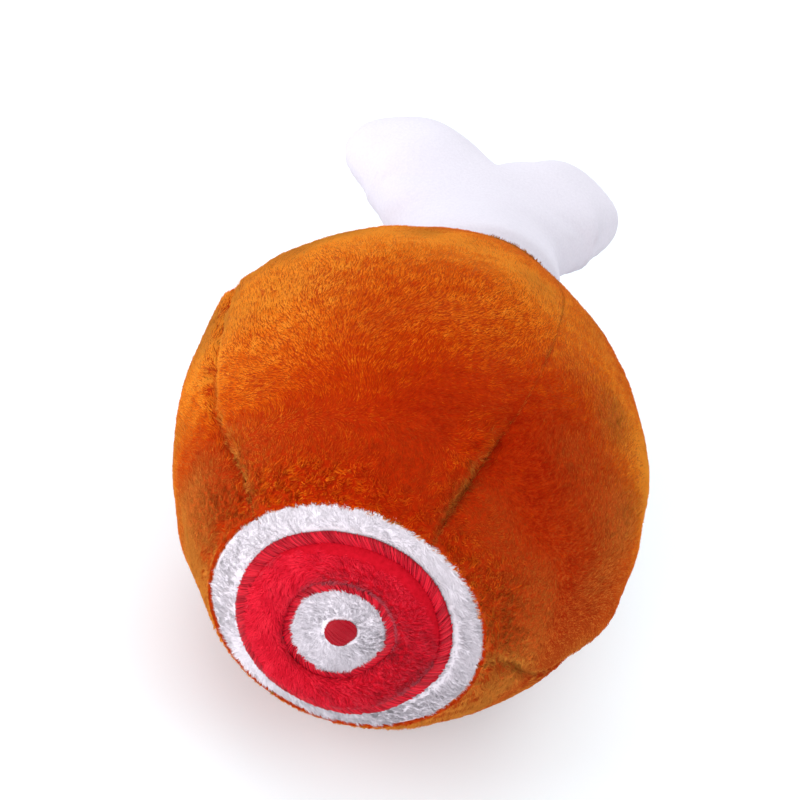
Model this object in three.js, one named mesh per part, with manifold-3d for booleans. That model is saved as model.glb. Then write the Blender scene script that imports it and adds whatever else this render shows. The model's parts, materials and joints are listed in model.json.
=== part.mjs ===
// Squeaky plush dog toy in the shape of a cartoon ham on the bone.
// Millimetres, +Z up, +Y from the cut face to the bone, lying on its underside.
// Four sewn panels make the body, a round cut face closes its front, and a stuffed bone grows out of its neck.
import * as THREE from 'three';
import { mergeVertices } from 'three/addons/utils/BufferGeometryUtils.js';
import Module from 'manifold-3d';

const wasm = await Module();
wasm.setup();

// Cloth, seams and gaps
const plushThickness = 2.4;
const seamAllowance = 6;
const seamGap = 0.3;
const hemEdge = 1;
const stuffingGap = 0.8;
const stuffingEase = 0.8;

// Body, a ham that is widest at the local origin
const bodyRadius = 60;
const frontLength = 60;
const rearLength = 74;
const neckRadius = 24.5;
const frontPower = 2;
const frontTaper = 1.05;
const rearPower = 1.6;
const rearTaper = 1.1;
const panelBulge = 1.6;
const seamDip = 1.8;
const seamDipWidth = 3.2;
const endPower = 4;
// The stuffed body is a little oval, widest towards this angle
const ovalSwell = 2.2;
const ovalAngle = 147;

// Underside, where the stuffing settles and the toy rests
const sagStart = 47;
const sagRoom = 7;
const sagPower = 4;
const restCut = 0.5;
const underFill = 8;
const underFillLength = 32;
const underFillReach = 24;

// Seams round the body, in degrees, from the right side up over the top
const seamAngles = [
  { atFace: 5, atWaist: -18 },
  { atFace: 70, atWaist: 70 },
  { atFace: 148, atWaist: 158 },
  { atFace: 254, atWaist: 250 },
];
const seamDriftShare = 0.45;
const panelNames = ['panel_right', 'panel_top', 'panel_left', 'panel_bottom'];
const panelRows = 24;
const panelColumns = 11;
const stuffingRows = 22;
const stuffingSteps = 6;

// Cut face of the ham
const faceRadius = 31.7;
const faceDome = 4.6;
const faceFlange = 5;
const meatOuterRadius = 22.5;
const meatInnerRadius = 14.3;
const meatThickness = 2.2;
const borderWidth = 2.7;
const borderHeight = 1.9;
const marrowRadius = 10.7;
const marrowThickness = 2;
const dotRadius = 4;
const dotThickness = 1.1;
const faceSegments = 32;
const patchSteps = 4;
const patchEdgeShare = 0.3;

// Bone
const boneLean = 12;
const rootRadius = 21.6;
const rootDepth = 6;
const rootClearance = 0.5;
const hemStart = 7.2;
const hemRun = 5;
const shaftRadius = 24;
const shaftTopRadius = 23.2;
const shaftLength = 37;
const lobeRadius = 20;
const lobeSpread = 21.5;
const lobeLength = 61;
const notchRadius = 5;
const boneFlatShare = 0.78;
const boneEdgePower = 0.75;
const boneFoldStart = 13;
const boneFoldRun = 12;
const boneSidePoints = 18;
const boneHemPoints = 5;
const boneColumns = 11;
const notchEndShare = 0.995;
const waddingEase = 1;
const waddingGap = 0.5;
const sweepAngle = 20;
const ballSegments = 24;
const ballRings = 14;

// Squeaker, a blow-moulded bladder with a reed plug in its collar
const squeakerPlace = -6;
const bladderRadius = 20;
const bladderHeight = 20;
const bladderWall = 0.9;
const bladderRound = 4.5;
const bladderFold = 2;
const shoulderRadius = 13;
const collarRadius = 6.2;
const collarHeight = 6;
const collarBore = 4.35;
const plugFlange = 1.2;
const plugWall = 1.1;
const plugBarrel = 9;
const reedLength = 9;
const reedWidth = 3.2;
const reedThickness = 0.25;
const reedGap = 0.32;
const reedRelief = 0.5;
const reedChannel = 2;
const reedChannelDepth = 0.8;
const clipLength = 4;
const pocketGap = 0.4;
const squeakerSegments = 24;

// Thread that closes the opening where the toy was stuffed
const threadRadius = 0.45;
const threadSwing = 1.9;
const threadLength = 33;
const threadToNeck = 14;
const threadWaves = 6;
const threadSteps = 8;
const threadSides = 5;

const plush = { roughness: 0.95, metalness: 0 };
const colours = {
  brown: new THREE.MeshStandardMaterial({ color: 0xb94808, ...plush }),
  fat: new THREE.MeshStandardMaterial({ color: 0xeae3ea, ...plush }),
  meat: new THREE.MeshStandardMaterial({ color: 0xc81c30, ...plush }),
  satin: new THREE.MeshStandardMaterial({ color: 0xb81428, roughness: 0.6, metalness: 0 }),
  bone: new THREE.MeshStandardMaterial({ color: 0xf2edf6, roughness: 0.85, metalness: 0 }),
  filling: new THREE.MeshStandardMaterial({ color: 0xf4f4f0, ...plush }),
  plastic: new THREE.MeshStandardMaterial({ color: 0xf0f0ec, roughness: 0.4, metalness: 0 }),
  reed: new THREE.MeshStandardMaterial({ color: 0xe8e8e0, roughness: 0.3, metalness: 0 }),
  thread: new THREE.MeshStandardMaterial({ color: 0xa8400c, roughness: 0.7, metalness: 0 }),
};

// The bone turns about a ball in the neck's rim
const pivotPlace = rearLength;

const toy = new THREE.Group();
const boneGroup = new THREE.Group();
boneGroup.position.y = pivotPlace;
boneGroup.rotation.z = THREE.MathUtils.degToRad(boneLean);
toy.add(boneGroup);

function addPiece(parent, name, geometry, material) {
  const mesh = new THREE.Mesh(geometry, material);
  mesh.name = name;
  parent.add(mesh);
  return mesh;
}

// Turns a list of corners and faces into a geometry whose faces point outwards
function closedGeometry(points, faces) {
  let volume = 0;
  const cross = new THREE.Vector3();
  for (const [a, b, c] of faces) {
    volume += points[a].dot(cross.crossVectors(points[b], points[c]));
  }
  const wound = volume < 0 ? faces.map(([a, b, c]) => [a, c, b]) : faces;
  const geometry = new THREE.BufferGeometry();
  geometry.setAttribute('position', new THREE.Float32BufferAttribute(points.flatMap((p) => p.toArray()), 3));
  geometry.setIndex(wound.flat());
  return geometry;
}

// Joins an outer and an inner grid of points round all four edges, as a sheet of cloth
// Its two halves are cut into mirrored triangles, so that the seam faces of neighbours match
function sheetGeometry(outer, inner) {
  const rows = outer.length;
  const columns = outer[0].length;
  const points = [...outer.flat(), ...inner.flat()];
  const front = (i, j) => i * columns + j;
  const back = (i, j) => rows * columns + i * columns + j;
  const faces = [];
  const quad = (a, b, c, d) => faces.push([a, b, c], [a, c, d]);
  for (let i = 0; i < rows - 1; i += 1) {
    for (let j = 0; j < columns - 1; j += 1) {
      const face = [front(i, j), front(i, j + 1), front(i + 1, j + 1), front(i + 1, j)];
      const behind = [back(i, j), back(i + 1, j), back(i + 1, j + 1), back(i, j + 1)];
      if (2 * j < columns - 1) {
        quad(...face);
        quad(...behind);
      } else {
        quad(face[1], face[2], face[3], face[0]);
        quad(behind[1], behind[2], behind[3], behind[0]);
      }
    }
    quad(front(i, 0), front(i + 1, 0), back(i + 1, 0), back(i, 0));
    quad(front(i + 1, columns - 1), front(i, columns - 1), back(i, columns - 1), back(i + 1, columns - 1));
  }
  for (let j = 0; j < columns - 1; j += 1) {
    quad(front(0, j + 1), front(0, j), back(0, j), back(0, j + 1));
    quad(front(rows - 1, j), front(rows - 1, j + 1), back(rows - 1, j + 1), back(rows - 1, j));
  }
  return closedGeometry(points, faces);
}

// Joins rings of points one after the other, from a first pole to a last pole
function ringGeometry(rings, firstPole, lastPole) {
  const count = rings[0].length;
  const points = [...rings.flat(), firstPole, lastPole];
  const first = points.length - 2;
  const last = points.length - 1;
  const faces = [];
  for (let j = 0; j < count; j += 1) {
    const k = (j + 1) % count;
    faces.push([first, k, j]);
    for (let i = 0; i < rings.length - 1; i += 1) {
      const a = i * count;
      const b = a + count;
      faces.push([a + j, a + k, b + k], [a + j, b + k, b + j]);
    }
    const end = (rings.length - 1) * count;
    faces.push([last, end + j, end + k]);
  }
  return closedGeometry(points, faces);
}

function toSolid(geometry) {
  const bare = geometry.clone();
  bare.deleteAttribute('normal');
  bare.deleteAttribute('uv');
  const merged = mergeVertices(bare);
  const vertProperties = Float32Array.from(merged.attributes.position.array);
  const triVerts = Uint32Array.from(merged.index.array);
  return new wasm.Manifold(new wasm.Mesh({ numProp: 3, vertProperties, triVerts }));
}

function toGeometry(solid) {
  const mesh = solid.getMesh();
  const geometry = new THREE.BufferGeometry();
  geometry.setAttribute('position', new THREE.Float32BufferAttribute(mesh.vertProperties, 3));
  geometry.setIndex(Array.from(mesh.triVerts));
  return geometry;
}

function boxBetween(low, high) {
  const size = new THREE.Vector3().subVectors(high, low);
  const box = new THREE.BoxGeometry(size.x, size.y, size.z);
  return box.translate(low.x + size.x / 2, low.y + size.y / 2, low.z + size.z / 2);
}

// Radius of the body along its axis, before panels bulge and the underside settles
const faceSeamRadius = faceRadius + seamGap + hemEdge;

function profileRadius(y) {
  if (y < 0) {
    const reach = Math.min(-y / frontLength, 1);
    return faceSeamRadius + (bodyRadius - faceSeamRadius) * (1 - reach ** frontPower) ** frontTaper;
  }
  const reach = Math.min(y / rearLength, 1);
  return neckRadius + (bodyRadius - neckRadius) * (1 - reach ** rearPower) ** rearTaper;
}

function profileSlope(y) {
  const step = rearLength / 1000;
  const low = Math.max(y - step, -frontLength);
  const high = Math.min(y + step, rearLength);
  return (profileRadius(high) - profileRadius(low)) / (high - low);
}

// Angle of a seam at a place along the body, where the front of a seam may drift round the cut face
function seamAngle(seam, y) {
  const start = -frontLength * (1 - seamDriftShare);
  const drift = 1 - THREE.MathUtils.smoothstep(y, -frontLength, start);
  return THREE.MathUtils.degToRad(seam.atWaist + (seam.atFace - seam.atWaist) * drift);
}

// How far the cloth can go in before it meets the cut face or the root of the bone
function innerLimit(y) {
  if (y < faceFlange + seamAllowance - frontLength) {
    return faceRadius + seamGap;
  }
  return y > pivotPlace - rootDepth ? rootRadius + rootClearance : 0;
}

// Lowers nothing below the resting plane, and rounds the cloth softly towards it
const restLevel = -(sagStart + settle(bodyRadius - sagStart) - restCut);

function settle(over) {
  return over / (1 + (over / sagRoom) ** sagPower) ** (1 / sagPower);
}

// A point of the body: a share of the way across its panel, at a depth under the cloth's face
function bodyPoint(y, angle, share, span, depth) {
  const ends = 1 - (y < 0 ? -y / frontLength : y / rearLength) ** endPower;
  const radius = profileRadius(y);
  const toSeam = Math.min(share, 1 - share) * span * radius;
  const dip = seamDip * Math.exp(-((toSeam / seamDipWidth) ** 2));
  const crown = 4 * share * (1 - share);
  const down = Math.max(-Math.sin(angle), 0) ** 2;
  const fill = underFill * down * Math.exp(-(((y - underFillLength) / underFillReach) ** 2)) * ends;
  const oval = ovalSwell * Math.cos(2 * (angle - THREE.MathUtils.degToRad(ovalAngle)));
  const settled = y > 0 ? fill : fill * (1 + y / frontLength);
  const skin = radius + ends * (oval - panelBulge * (1 - crown) - dip) + settled;
  const x = skin * Math.cos(angle);
  let z = skin * Math.sin(angle);
  if (z < -sagStart) {
    z = Math.max(-sagStart - settle(-z - sagStart), restLevel);
  }
  const reach = Math.hypot(x, z);
  const lean = Math.hypot(1, profileSlope(y));
  const limit = innerLimit(y) - Math.max(depth - seamAllowance, 0);
  const inside = depth > 0 ? Math.max(reach - depth * lean, limit) : reach;
  const scale = Math.min(inside, reach) / reach;
  return new THREE.Vector3(x * scale, y, z * scale);
}

// Evenly spread rows, closer together where the body turns in at both ends
function panelPlaces(rows, start, end) {
  const places = [];
  for (let i = 0; i < rows; i += 1) {
    const turn = Math.PI * (i / (rows - 1) - 0.5);
    places.push(start + (end - start) * (0.5 + 0.5 * Math.sin(turn)));
  }
  return places;
}

// One panel of the body, with the allowances along its seams turned inside
function panelGeometry(index) {
  const low = seamAngles[index];
  const high = seamAngles[(index + 1) % seamAngles.length];
  const outer = [];
  const inner = [];
  for (const y of panelPlaces(panelRows, -frontLength, rearLength)) {
    const turn = index + 1 < seamAngles.length ? 0 : 2 * Math.PI;
    const from = seamAngle(low, y);
    const to = seamAngle(high, y) + turn;
    const radius = profileRadius(y);
    const half = seamGap / 2 / radius;
    const fold = (seamGap / 2 + plushThickness) / radius;
    const span = to - from;
    const face = [];
    const back = [];
    for (let j = 0; j < panelColumns; j += 1) {
      const even = j / (panelColumns - 1);
      const share = 0.5 * even + 0.25 * (1 - Math.cos(Math.PI * even));
      face.push(bodyPoint(y, from + half + (span - 2 * half) * share, share, span, 0));
      back.push(bodyPoint(y, from + fold + (span - 2 * fold) * share, share, span, plushThickness));
    }
    face.unshift(bodyPoint(y, from + half, 0, span, seamAllowance));
    back.unshift(bodyPoint(y, from + fold, 0, span, seamAllowance));
    face.push(bodyPoint(y, to - half, 1, span, seamAllowance));
    back.push(bodyPoint(y, to - fold, 1, span, seamAllowance));
    outer.push(face);
    inner.push(back);
  }
  return sheetGeometry(outer, inner);
}

panelNames.forEach((name, index) => addPiece(toy, name, panelGeometry(index), colours.brown));

// Outer face of the domed cut face, which the round pieces are sewn on
function domePlace(radius) {
  return -frontLength - faceDome * (1 - (radius / faceRadius) ** 2);
}

function latheFrom(profile, segments) {
  return new THREE.LatheGeometry(profile, segments);
}

function faceDiscGeometry() {
  const steps = 7;
  const profile = [];
  for (let i = 0; i <= steps; i += 1) {
    const radius = (faceRadius * i) / steps;
    profile.push(new THREE.Vector2(radius, domePlace(radius)));
  }
  profile.push(new THREE.Vector2(faceRadius, faceFlange - frontLength));
  const inside = faceRadius - plushThickness;
  profile.push(new THREE.Vector2(inside, faceFlange - frontLength));
  for (let i = steps; i >= 0; i -= 1) {
    const radius = (inside * i) / steps;
    profile.push(new THREE.Vector2(radius, domePlace(radius) + plushThickness));
  }
  return latheFrom(profile, faceSegments);
}

// A round or ring-shaped piece of cloth or stitching on the cut face, with rolled edges
function patchGeometry(innerRadius, outerRadius, height, lift, crownPower) {
  const steps = patchSteps;
  const middle = innerRadius > 0 ? (innerRadius + outerRadius) / 2 : 0;
  const reach = outerRadius - middle;
  const under = [];
  const over = [];
  for (let i = 0; i <= steps; i += 1) {
    const even = i / steps;
    const turn = innerRadius > 0 ? -Math.cos(Math.PI * even) : Math.sin((Math.PI / 2) * even);
    const radius = middle + reach * turn;
    const crown = Math.max(1 - Math.abs(turn) ** crownPower, 0) ** 0.5;
    const seat = domePlace(radius) - seamGap - lift;
    under.push(new THREE.Vector2(radius, seat));
    over.push(new THREE.Vector2(radius, seat - height * (patchEdgeShare + (1 - patchEdgeShare) * crown)));
  }
  const profile = [...over, ...under.reverse()];
  if (innerRadius > 0) {
    profile.push(over[0].clone());
  }
  return latheFrom(profile, faceSegments);
}

addPiece(toy, 'face_disc', faceDiscGeometry(), colours.fat);
addPiece(toy, 'meat_ring', patchGeometry(meatInnerRadius, meatOuterRadius, meatThickness, 0, 6), colours.meat);
const meatEdge = meatOuterRadius + seamGap;
const meatBorder = patchGeometry(meatEdge, meatEdge + borderWidth, borderHeight, 0, 2);
addPiece(toy, 'meat_border', meatBorder, colours.satin);
addPiece(toy, 'marrow_disc', patchGeometry(0, marrowRadius, marrowThickness, 0, 6), colours.fat);
const marrowEdge = marrowRadius + seamGap;
const marrowBorder = patchGeometry(marrowEdge, marrowEdge + borderWidth, borderHeight, 0, 2);
addPiece(toy, 'marrow_border', marrowBorder, colours.satin);
const dotLift = marrowThickness + seamGap;
addPiece(toy, 'marrow_dot', patchGeometry(0, dotRadius, dotThickness, dotLift, 2), colours.satin);

// Bone, seen from above in its own frame with the pivot at zero
const hemTop = pivotPlace + hemStart + hemRun;
const shaftTop = pivotPlace + shaftLength;
const lobePlace = pivotPlace + lobeLength;

function boneShaftRadius(y) {
  const fromPivot = Math.min(y - pivotPlace, hemStart);
  const ball = Math.sqrt(rootRadius ** 2 - fromPivot ** 2);
  const rise = THREE.MathUtils.smoothstep(y, pivotPlace + hemStart, hemTop);
  const flare = THREE.MathUtils.smoothstep(y, hemTop, shaftTop);
  return ball + (shaftRadius - ball) * rise + (shaftTopRadius - shaftRadius) * flare;
}

// Radius of the concave bend from the shaft's side into the lobe, which meets both smoothly
const bendReach = shaftTopRadius - lobeSpread;
const bendDrop = lobePlace - shaftTop;
const bendRadius = (bendDrop ** 2 + bendReach ** 2 - lobeRadius ** 2) / (2 * (lobeRadius - bendReach));

// Right half of the bone's outline above its hem, up the shaft and round the lobe to the notch
function boneOutlineHalf() {
  const path = new THREE.Path();
  const steps = 8;
  path.moveTo(shaftRadius, hemTop);
  for (let i = 1; i <= steps; i += 1) {
    const y = hemTop + ((shaftTop - hemTop) * i) / steps;
    path.lineTo(boneShaftRadius(y), y);
  }
  const bendX = shaftTopRadius + bendRadius;
  const toLobe = Math.atan2(lobePlace - shaftTop, lobeSpread - bendX);
  path.absarc(bendX, shaftTop, bendRadius, Math.PI, toLobe, true);
  const notchRise = Math.sqrt((lobeRadius + notchRadius) ** 2 - lobeSpread ** 2);
  const toNotch = Math.atan2(notchRise, -lobeSpread);
  path.absarc(lobeSpread, lobePlace, lobeRadius, toLobe - Math.PI, toNotch, false);
  path.absarc(0, lobePlace + notchRise, notchRadius, toNotch - Math.PI, -Math.PI / 2, true);
  return path;
}

// Points up the right side of the root, a ball about the pivot that widens at the hem
function rootPoints(steps) {
  const points = [];
  for (let i = 0; i < steps; i += 1) {
    const y = pivotPlace - rootDepth + ((hemTop + rootDepth - pivotPlace) * i) / steps;
    points.push(new THREE.Vector2(boneShaftRadius(y), y));
  }
  return points;
}

// Places up the right side of the bone, each with its inward direction and its share of the way to the notch
function boneRows() {
  const half = boneOutlineHalf();
  const side = rootPoints(boneHemPoints);
  for (let i = 0; i < boneSidePoints; i += 1) {
    side.push(half.getPointAt((i / (boneSidePoints - 1)) * notchEndShare));
  }
  const last = side.length - 1;
  const straight = side.filter((p) => p.y <= shaftTop && p.x <= shaftTopRadius).length - 1;
  return side.map((point, i) => {
    const before = side[Math.max(i - 1, 0)];
    const after = side[Math.min(i + 1, last)];
    const along = after.clone().sub(before).normalize();
    const inward = new THREE.Vector2(-along.y, along.x);
    const from = side[Math.min(i, straight)].y;
    return { point, inward, from, share: Math.max(i - straight, 0) / (last - straight) };
  });
}

const rows = boneRows();
const notchBottom = rows[rows.length - 1].point.y;
const fineCount = boneSidePoints * 12;
const fineSide = [...rootPoints(fineCount), ...boneOutlineHalf().getSpacedPoints(fineCount)];

function toOutline(x, y) {
  let nearest = Infinity;
  for (const p of fineSide) {
    nearest = Math.min(nearest, (p.x - Math.abs(x)) ** 2 + (p.y - y) ** 2);
  }
  return Math.sqrt(nearest);
}

// Half thickness of the stuffed bone at a place, at a depth under the cloth's face
function boneHeight(x, y, depth) {
  const flat = THREE.MathUtils.smoothstep(y, hemTop, lobePlace);
  const round = THREE.MathUtils.lerp(boneShaftRadius(Math.min(y, shaftTop)), lobeRadius, flat) - depth;
  const under = Math.min(Math.max(toOutline(x, y) - depth, 0), round);
  const share = THREE.MathUtils.lerp(1, boneFlatShare, flat);
  const power = THREE.MathUtils.lerp(0.5, boneEdgePower, flat);
  return share * round * (1 - (1 - under / round) ** 2) ** power;
}

function bonePoint(x, y, z) {
  return new THREE.Vector3(x, y - pivotPlace, z);
}

// One row across the bone from side to side by way of its spine, drawn in by a depth
function boneRow({ point, inward, from, share }, depth, heightAt) {
  const edge = point.clone().addScaledVector(inward, depth);
  const spine = THREE.MathUtils.lerp(from, notchBottom - Math.max(depth, plushThickness / 2), share);
  const row = [];
  for (let j = 0; j < boneColumns; j += 1) {
    const turn = Math.sin(Math.PI * (j / (boneColumns - 1) - 0.5));
    const x = edge.x * turn;
    const y = spine + (edge.y - spine) * Math.abs(turn);
    const atSeam = j === 0 || j === boneColumns - 1;
    row.push(bonePoint(x, y, heightAt(x, y, atSeam)));
  }
  return row;
}

// One side of the bone's cloth, with its allowance folded in behind the seam
function bonePanelGeometry(side) {
  const half = seamGap / 2;
  const floor = half + plushThickness;
  const outer = [];
  const inner = [];
  for (const row of rows) {
    const { point, inward } = row;
    const deep = THREE.MathUtils.smoothstep(point.y - pivotPlace, boneFoldStart, boneFoldStart + boneFoldRun);
    const fold = THREE.MathUtils.lerp(floor + seamGap, seamAllowance, deep);
    const tip = point.clone().addScaledVector(inward, fold);
    const height = (depth, least) => (x, y, atSeam) => (
      side * (atSeam ? least : Math.max(boneHeight(x, y, depth), least)));
    const face = boneRow(row, 0, height(0, half));
    const back = boneRow(row, floor, height(plushThickness, floor));
    outer.push([bonePoint(-tip.x, tip.y, side * half), ...face, bonePoint(tip.x, tip.y, side * half)]);
    inner.push([bonePoint(-tip.x, tip.y, side * floor), ...back, bonePoint(tip.x, tip.y, side * floor)]);
  }
  return sheetGeometry(outer, inner);
}

addPiece(boneGroup, 'bone_panel_upper', bonePanelGeometry(1), colours.bone);
addPiece(boneGroup, 'bone_panel_lower', bonePanelGeometry(-1), colours.bone);

// A ball about the pivot of the bone, in the bone's own frame
const waddingRadius = rootRadius - plushThickness - seamGap - waddingEase;

function pivotBall(radius) {
  return new THREE.SphereGeometry(radius, ballSegments, ballRings);
}

function boneStuffingGeometry() {
  const inset = seamAllowance + stuffingGap;
  const depth = plushThickness + stuffingGap + stuffingEase;
  const layer = (side) => rows.map((row) => boneRow(row, inset, (x, y) => side * boneHeight(x, y, depth)));
  const solid = toSolid(sheetGeometry(layer(1), layer(-1)));
  return toGeometry(solid.subtract(toSolid(pivotBall(waddingRadius + waddingGap))));
}

addPiece(boneGroup, 'bone_stuffing', boneStuffingGeometry(), colours.filling);
const waddingHolder = new THREE.Group();
waddingHolder.position.y = pivotPlace;
toy.add(waddingHolder);
addPiece(waddingHolder, 'neck_wadding', pivotBall(waddingRadius), colours.filling);

// Squeaker, standing with its collar up
const squeakerTop = bladderHeight + collarHeight;
const squeakerHalf = squeakerTop / 2;

function bladderProfile(offset) {
  const radius = bladderRadius - offset;
  const low = offset;
  const top = bladderHeight - offset;
  const middle = bladderHeight / 2;
  return [
    [radius - bladderRound, low],
    [radius - bladderRound / 4, low + bladderRound / 4],
    [radius, low + bladderRound],
    [radius, middle - bladderFold],
    [radius - bladderFold, middle],
    [radius, middle + bladderFold],
    [radius, top - bladderRound],
    [radius - bladderRound / 3, top - bladderRound / 3],
    [shoulderRadius, top],
  ];
}

function toVectors(pairs) {
  return pairs.map(([r, z]) => new THREE.Vector2(r, z));
}

function standing(profile, segments) {
  return latheFrom(toVectors(profile), segments).rotateX(Math.PI / 2).translate(0, 0, -squeakerHalf);
}

function bladderGeometry() {
  const outside = [[0, 0], ...bladderProfile(0), [collarRadius, bladderHeight]];
  const inside = [[collarBore, bladderHeight - bladderWall], ...bladderProfile(bladderWall).reverse()];
  const mouth = [[collarRadius, squeakerTop], [collarBore, squeakerTop]];
  return standing([...outside, ...mouth, ...inside, [0, bladderWall]], squeakerSegments);
}

const plugRadius = collarBore - seamGap;
const plugBore = plugRadius - plugWall;
const plugBase = squeakerTop + seamGap - plugBarrel;
const plugTop = squeakerTop + seamGap + plugFlange;

function plugGeometry() {
  return standing([
    [plugRadius, plugBase],
    [plugRadius, squeakerTop + seamGap],
    [collarRadius, squeakerTop + seamGap],
    [collarRadius, plugTop],
    [plugBore, plugTop],
    [plugBore, plugBase],
    [plugRadius, plugBase],
  ], squeakerSegments);
}

// The trough under the reed: half a round bar with a channel, its lips falling away from the clip
const troughRadius = plugBore - seamGap;
const reedTop = plugTop - seamGap;
const reedFace = reedGap + reedThickness / 2;

function halfRound(channelDepth) {
  const shape = new THREE.Shape();
  const edge = Math.acos(reedFace / troughRadius);
  shape.absarc(0, 0, troughRadius, Math.PI - edge, Math.PI + edge, false);
  const half = reedChannel / 2;
  if (channelDepth > 0) {
    shape.lineTo(-reedFace, -half);
    shape.lineTo(-reedFace - channelDepth, -half);
    shape.lineTo(-reedFace - channelDepth, half);
    shape.lineTo(-reedFace, half);
  }
  return shape;
}

function barGeometry(shape, length) {
  const settings = { depth: length, bevelEnabled: false, curveSegments: 12 };
  return new THREE.ExtrudeGeometry(shape, settings).translate(0, 0, reedTop - length - squeakerHalf);
}

function troughGeometry() {
  const bar = toSolid(barGeometry(halfRound(reedChannelDepth), reedLength));
  const low = reedTop - reedLength - squeakerHalf;
  const hinge = reedTop - clipLength - squeakerHalf;
  const wedge = new THREE.Shape();
  wedge.moveTo(-reedFace - reedRelief, low - seamGap);
  wedge.lineTo(reedFace, low - seamGap);
  wedge.lineTo(reedFace, hinge);
  wedge.lineTo(-reedFace, hinge);
  const settings = { depth: 2 * troughRadius, bevelEnabled: false };
  const cutter = new THREE.ExtrudeGeometry(wedge, settings).rotateX(Math.PI / 2).translate(0, troughRadius, 0);
  return toGeometry(bar.subtract(toSolid(cutter)));
}

function tongueGeometry() {
  const length = reedLength - seamGap;
  const tongue = new THREE.BoxGeometry(reedThickness, reedWidth, length);
  return tongue.translate(0, 0, reedTop - length / 2 - squeakerHalf);
}

const squeaker = new THREE.Group();
squeaker.position.y = squeakerPlace;
toy.add(squeaker);
addPiece(squeaker, 'squeaker_bladder', bladderGeometry(), colours.plastic);
addPiece(squeaker, 'squeaker_plug', plugGeometry(), colours.plastic);
addPiece(squeaker, 'reed_trough', troughGeometry(), colours.plastic);
addPiece(squeaker, 'reed_tongue', tongueGeometry(), colours.reed);
addPiece(squeaker, 'reed_clip', barGeometry(halfRound(0), clipLength).rotateZ(Math.PI), colours.plastic);

// Body stuffing, with grooves for the seam allowances, a pocket for the squeaker and a cup for the neck
const wide = 2 * bodyRadius;

function stuffingRing(y) {
  const ring = [];
  const deep = seamAllowance + stuffingGap;
  const thin = plushThickness + stuffingGap;
  const radius = profileRadius(y);
  const groove = (plushThickness + seamGap + stuffingGap) / radius;
  const shoulder = groove + (stuffingGap + stuffingEase) / radius;
  seamAngles.forEach((low, index) => {
    const last = index + 1 === seamAngles.length;
    const from = seamAngle(low, y);
    const to = seamAngle(seamAngles[(index + 1) % seamAngles.length], y) + (last ? 2 * Math.PI : 0);
    const span = to - from;
    const at = (angle, share, depth) => ring.push(bodyPoint(y, angle, share, span, depth));
    at(from, 0, deep);
    at(from + groove, 0, deep);
    for (let i = 0; i <= stuffingSteps; i += 1) {
      const edge = i === 0 || i === stuffingSteps;
      const angle = from + shoulder + ((span - 2 * shoulder) * i) / stuffingSteps;
      at(angle, (angle - from) / span, edge ? thin + stuffingEase : thin);
    }
    at(to - groove, 1, deep);
  });
  return ring;
}

function bodyStuffing() {
  const front = faceFlange + stuffingGap - frontLength;
  const rear = pivotPlace - rootDepth;
  const rows = panelPlaces(stuffingRows, front, rear);
  const rings = rows.map(stuffingRing);
  const inside = faceRadius - plushThickness - stuffingGap;
  const faceRing = (radius, y) => rings[0].map((p) => {
    const scale = radius / Math.hypot(p.x, p.z);
    return new THREE.Vector3(p.x * scale, y, p.z * scale);
  });
  const under = plushThickness + stuffingGap;
  const dome = [1, 2 / 3, 1 / 3].map((share) => faceRing(inside * share, domePlace(inside * share) + under));
  const start = [...dome].reverse();
  start.push(faceRing(inside, front));
  const firstPole = new THREE.Vector3(0, domePlace(0) + under, 0);
  const whole = toSolid(ringGeometry([...start, ...rings], firstPole, new THREE.Vector3(0, rear, 0)));
  const cup = pivotBall(waddingRadius + waddingGap).translate(0, pivotPlace, 0);
  const sweep = pivotBall(rootRadius + rootClearance).translate(0, pivotPlace, 0);
  const turned = pivotPlace - rootDepth - rootRadius * Math.sin(THREE.MathUtils.degToRad(sweepAngle));
  const room = boxBetween(new THREE.Vector3(-wide, turned, -wide), new THREE.Vector3(wide, rearLength, wide));
  return whole.subtract(toSolid(cup)).subtract(toSolid(sweep).intersect(toSolid(room)));
}

function pocketGeometry() {
  const radius = bladderRadius + pocketGap;
  const profile = [
    [0, -pocketGap],
    [radius, -pocketGap],
    [radius, bladderHeight + pocketGap],
    [collarRadius + pocketGap, bladderHeight + pocketGap],
    [collarRadius + pocketGap, plugTop + pocketGap],
    [0, plugTop + pocketGap],
  ];
  return standing(profile, squeakerSegments).translate(0, squeakerPlace, 0);
}

const filling = bodyStuffing().subtract(toSolid(pocketGeometry()));
const split = squeakerPlace;
const frontHalf = boxBetween(
  new THREE.Vector3(-wide, -wide, -wide), new THREE.Vector3(wide, split - seamGap / 2, wide));
const rearHalf = boxBetween(
  new THREE.Vector3(-wide, split + seamGap / 2, -wide), new THREE.Vector3(wide, wide, wide));
addPiece(toy, 'stuffing_front', toGeometry(filling.intersect(toSolid(frontHalf))), colours.filling);
addPiece(toy, 'stuffing_rear', toGeometry(filling.intersect(toSolid(rearHalf))), colours.filling);

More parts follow.
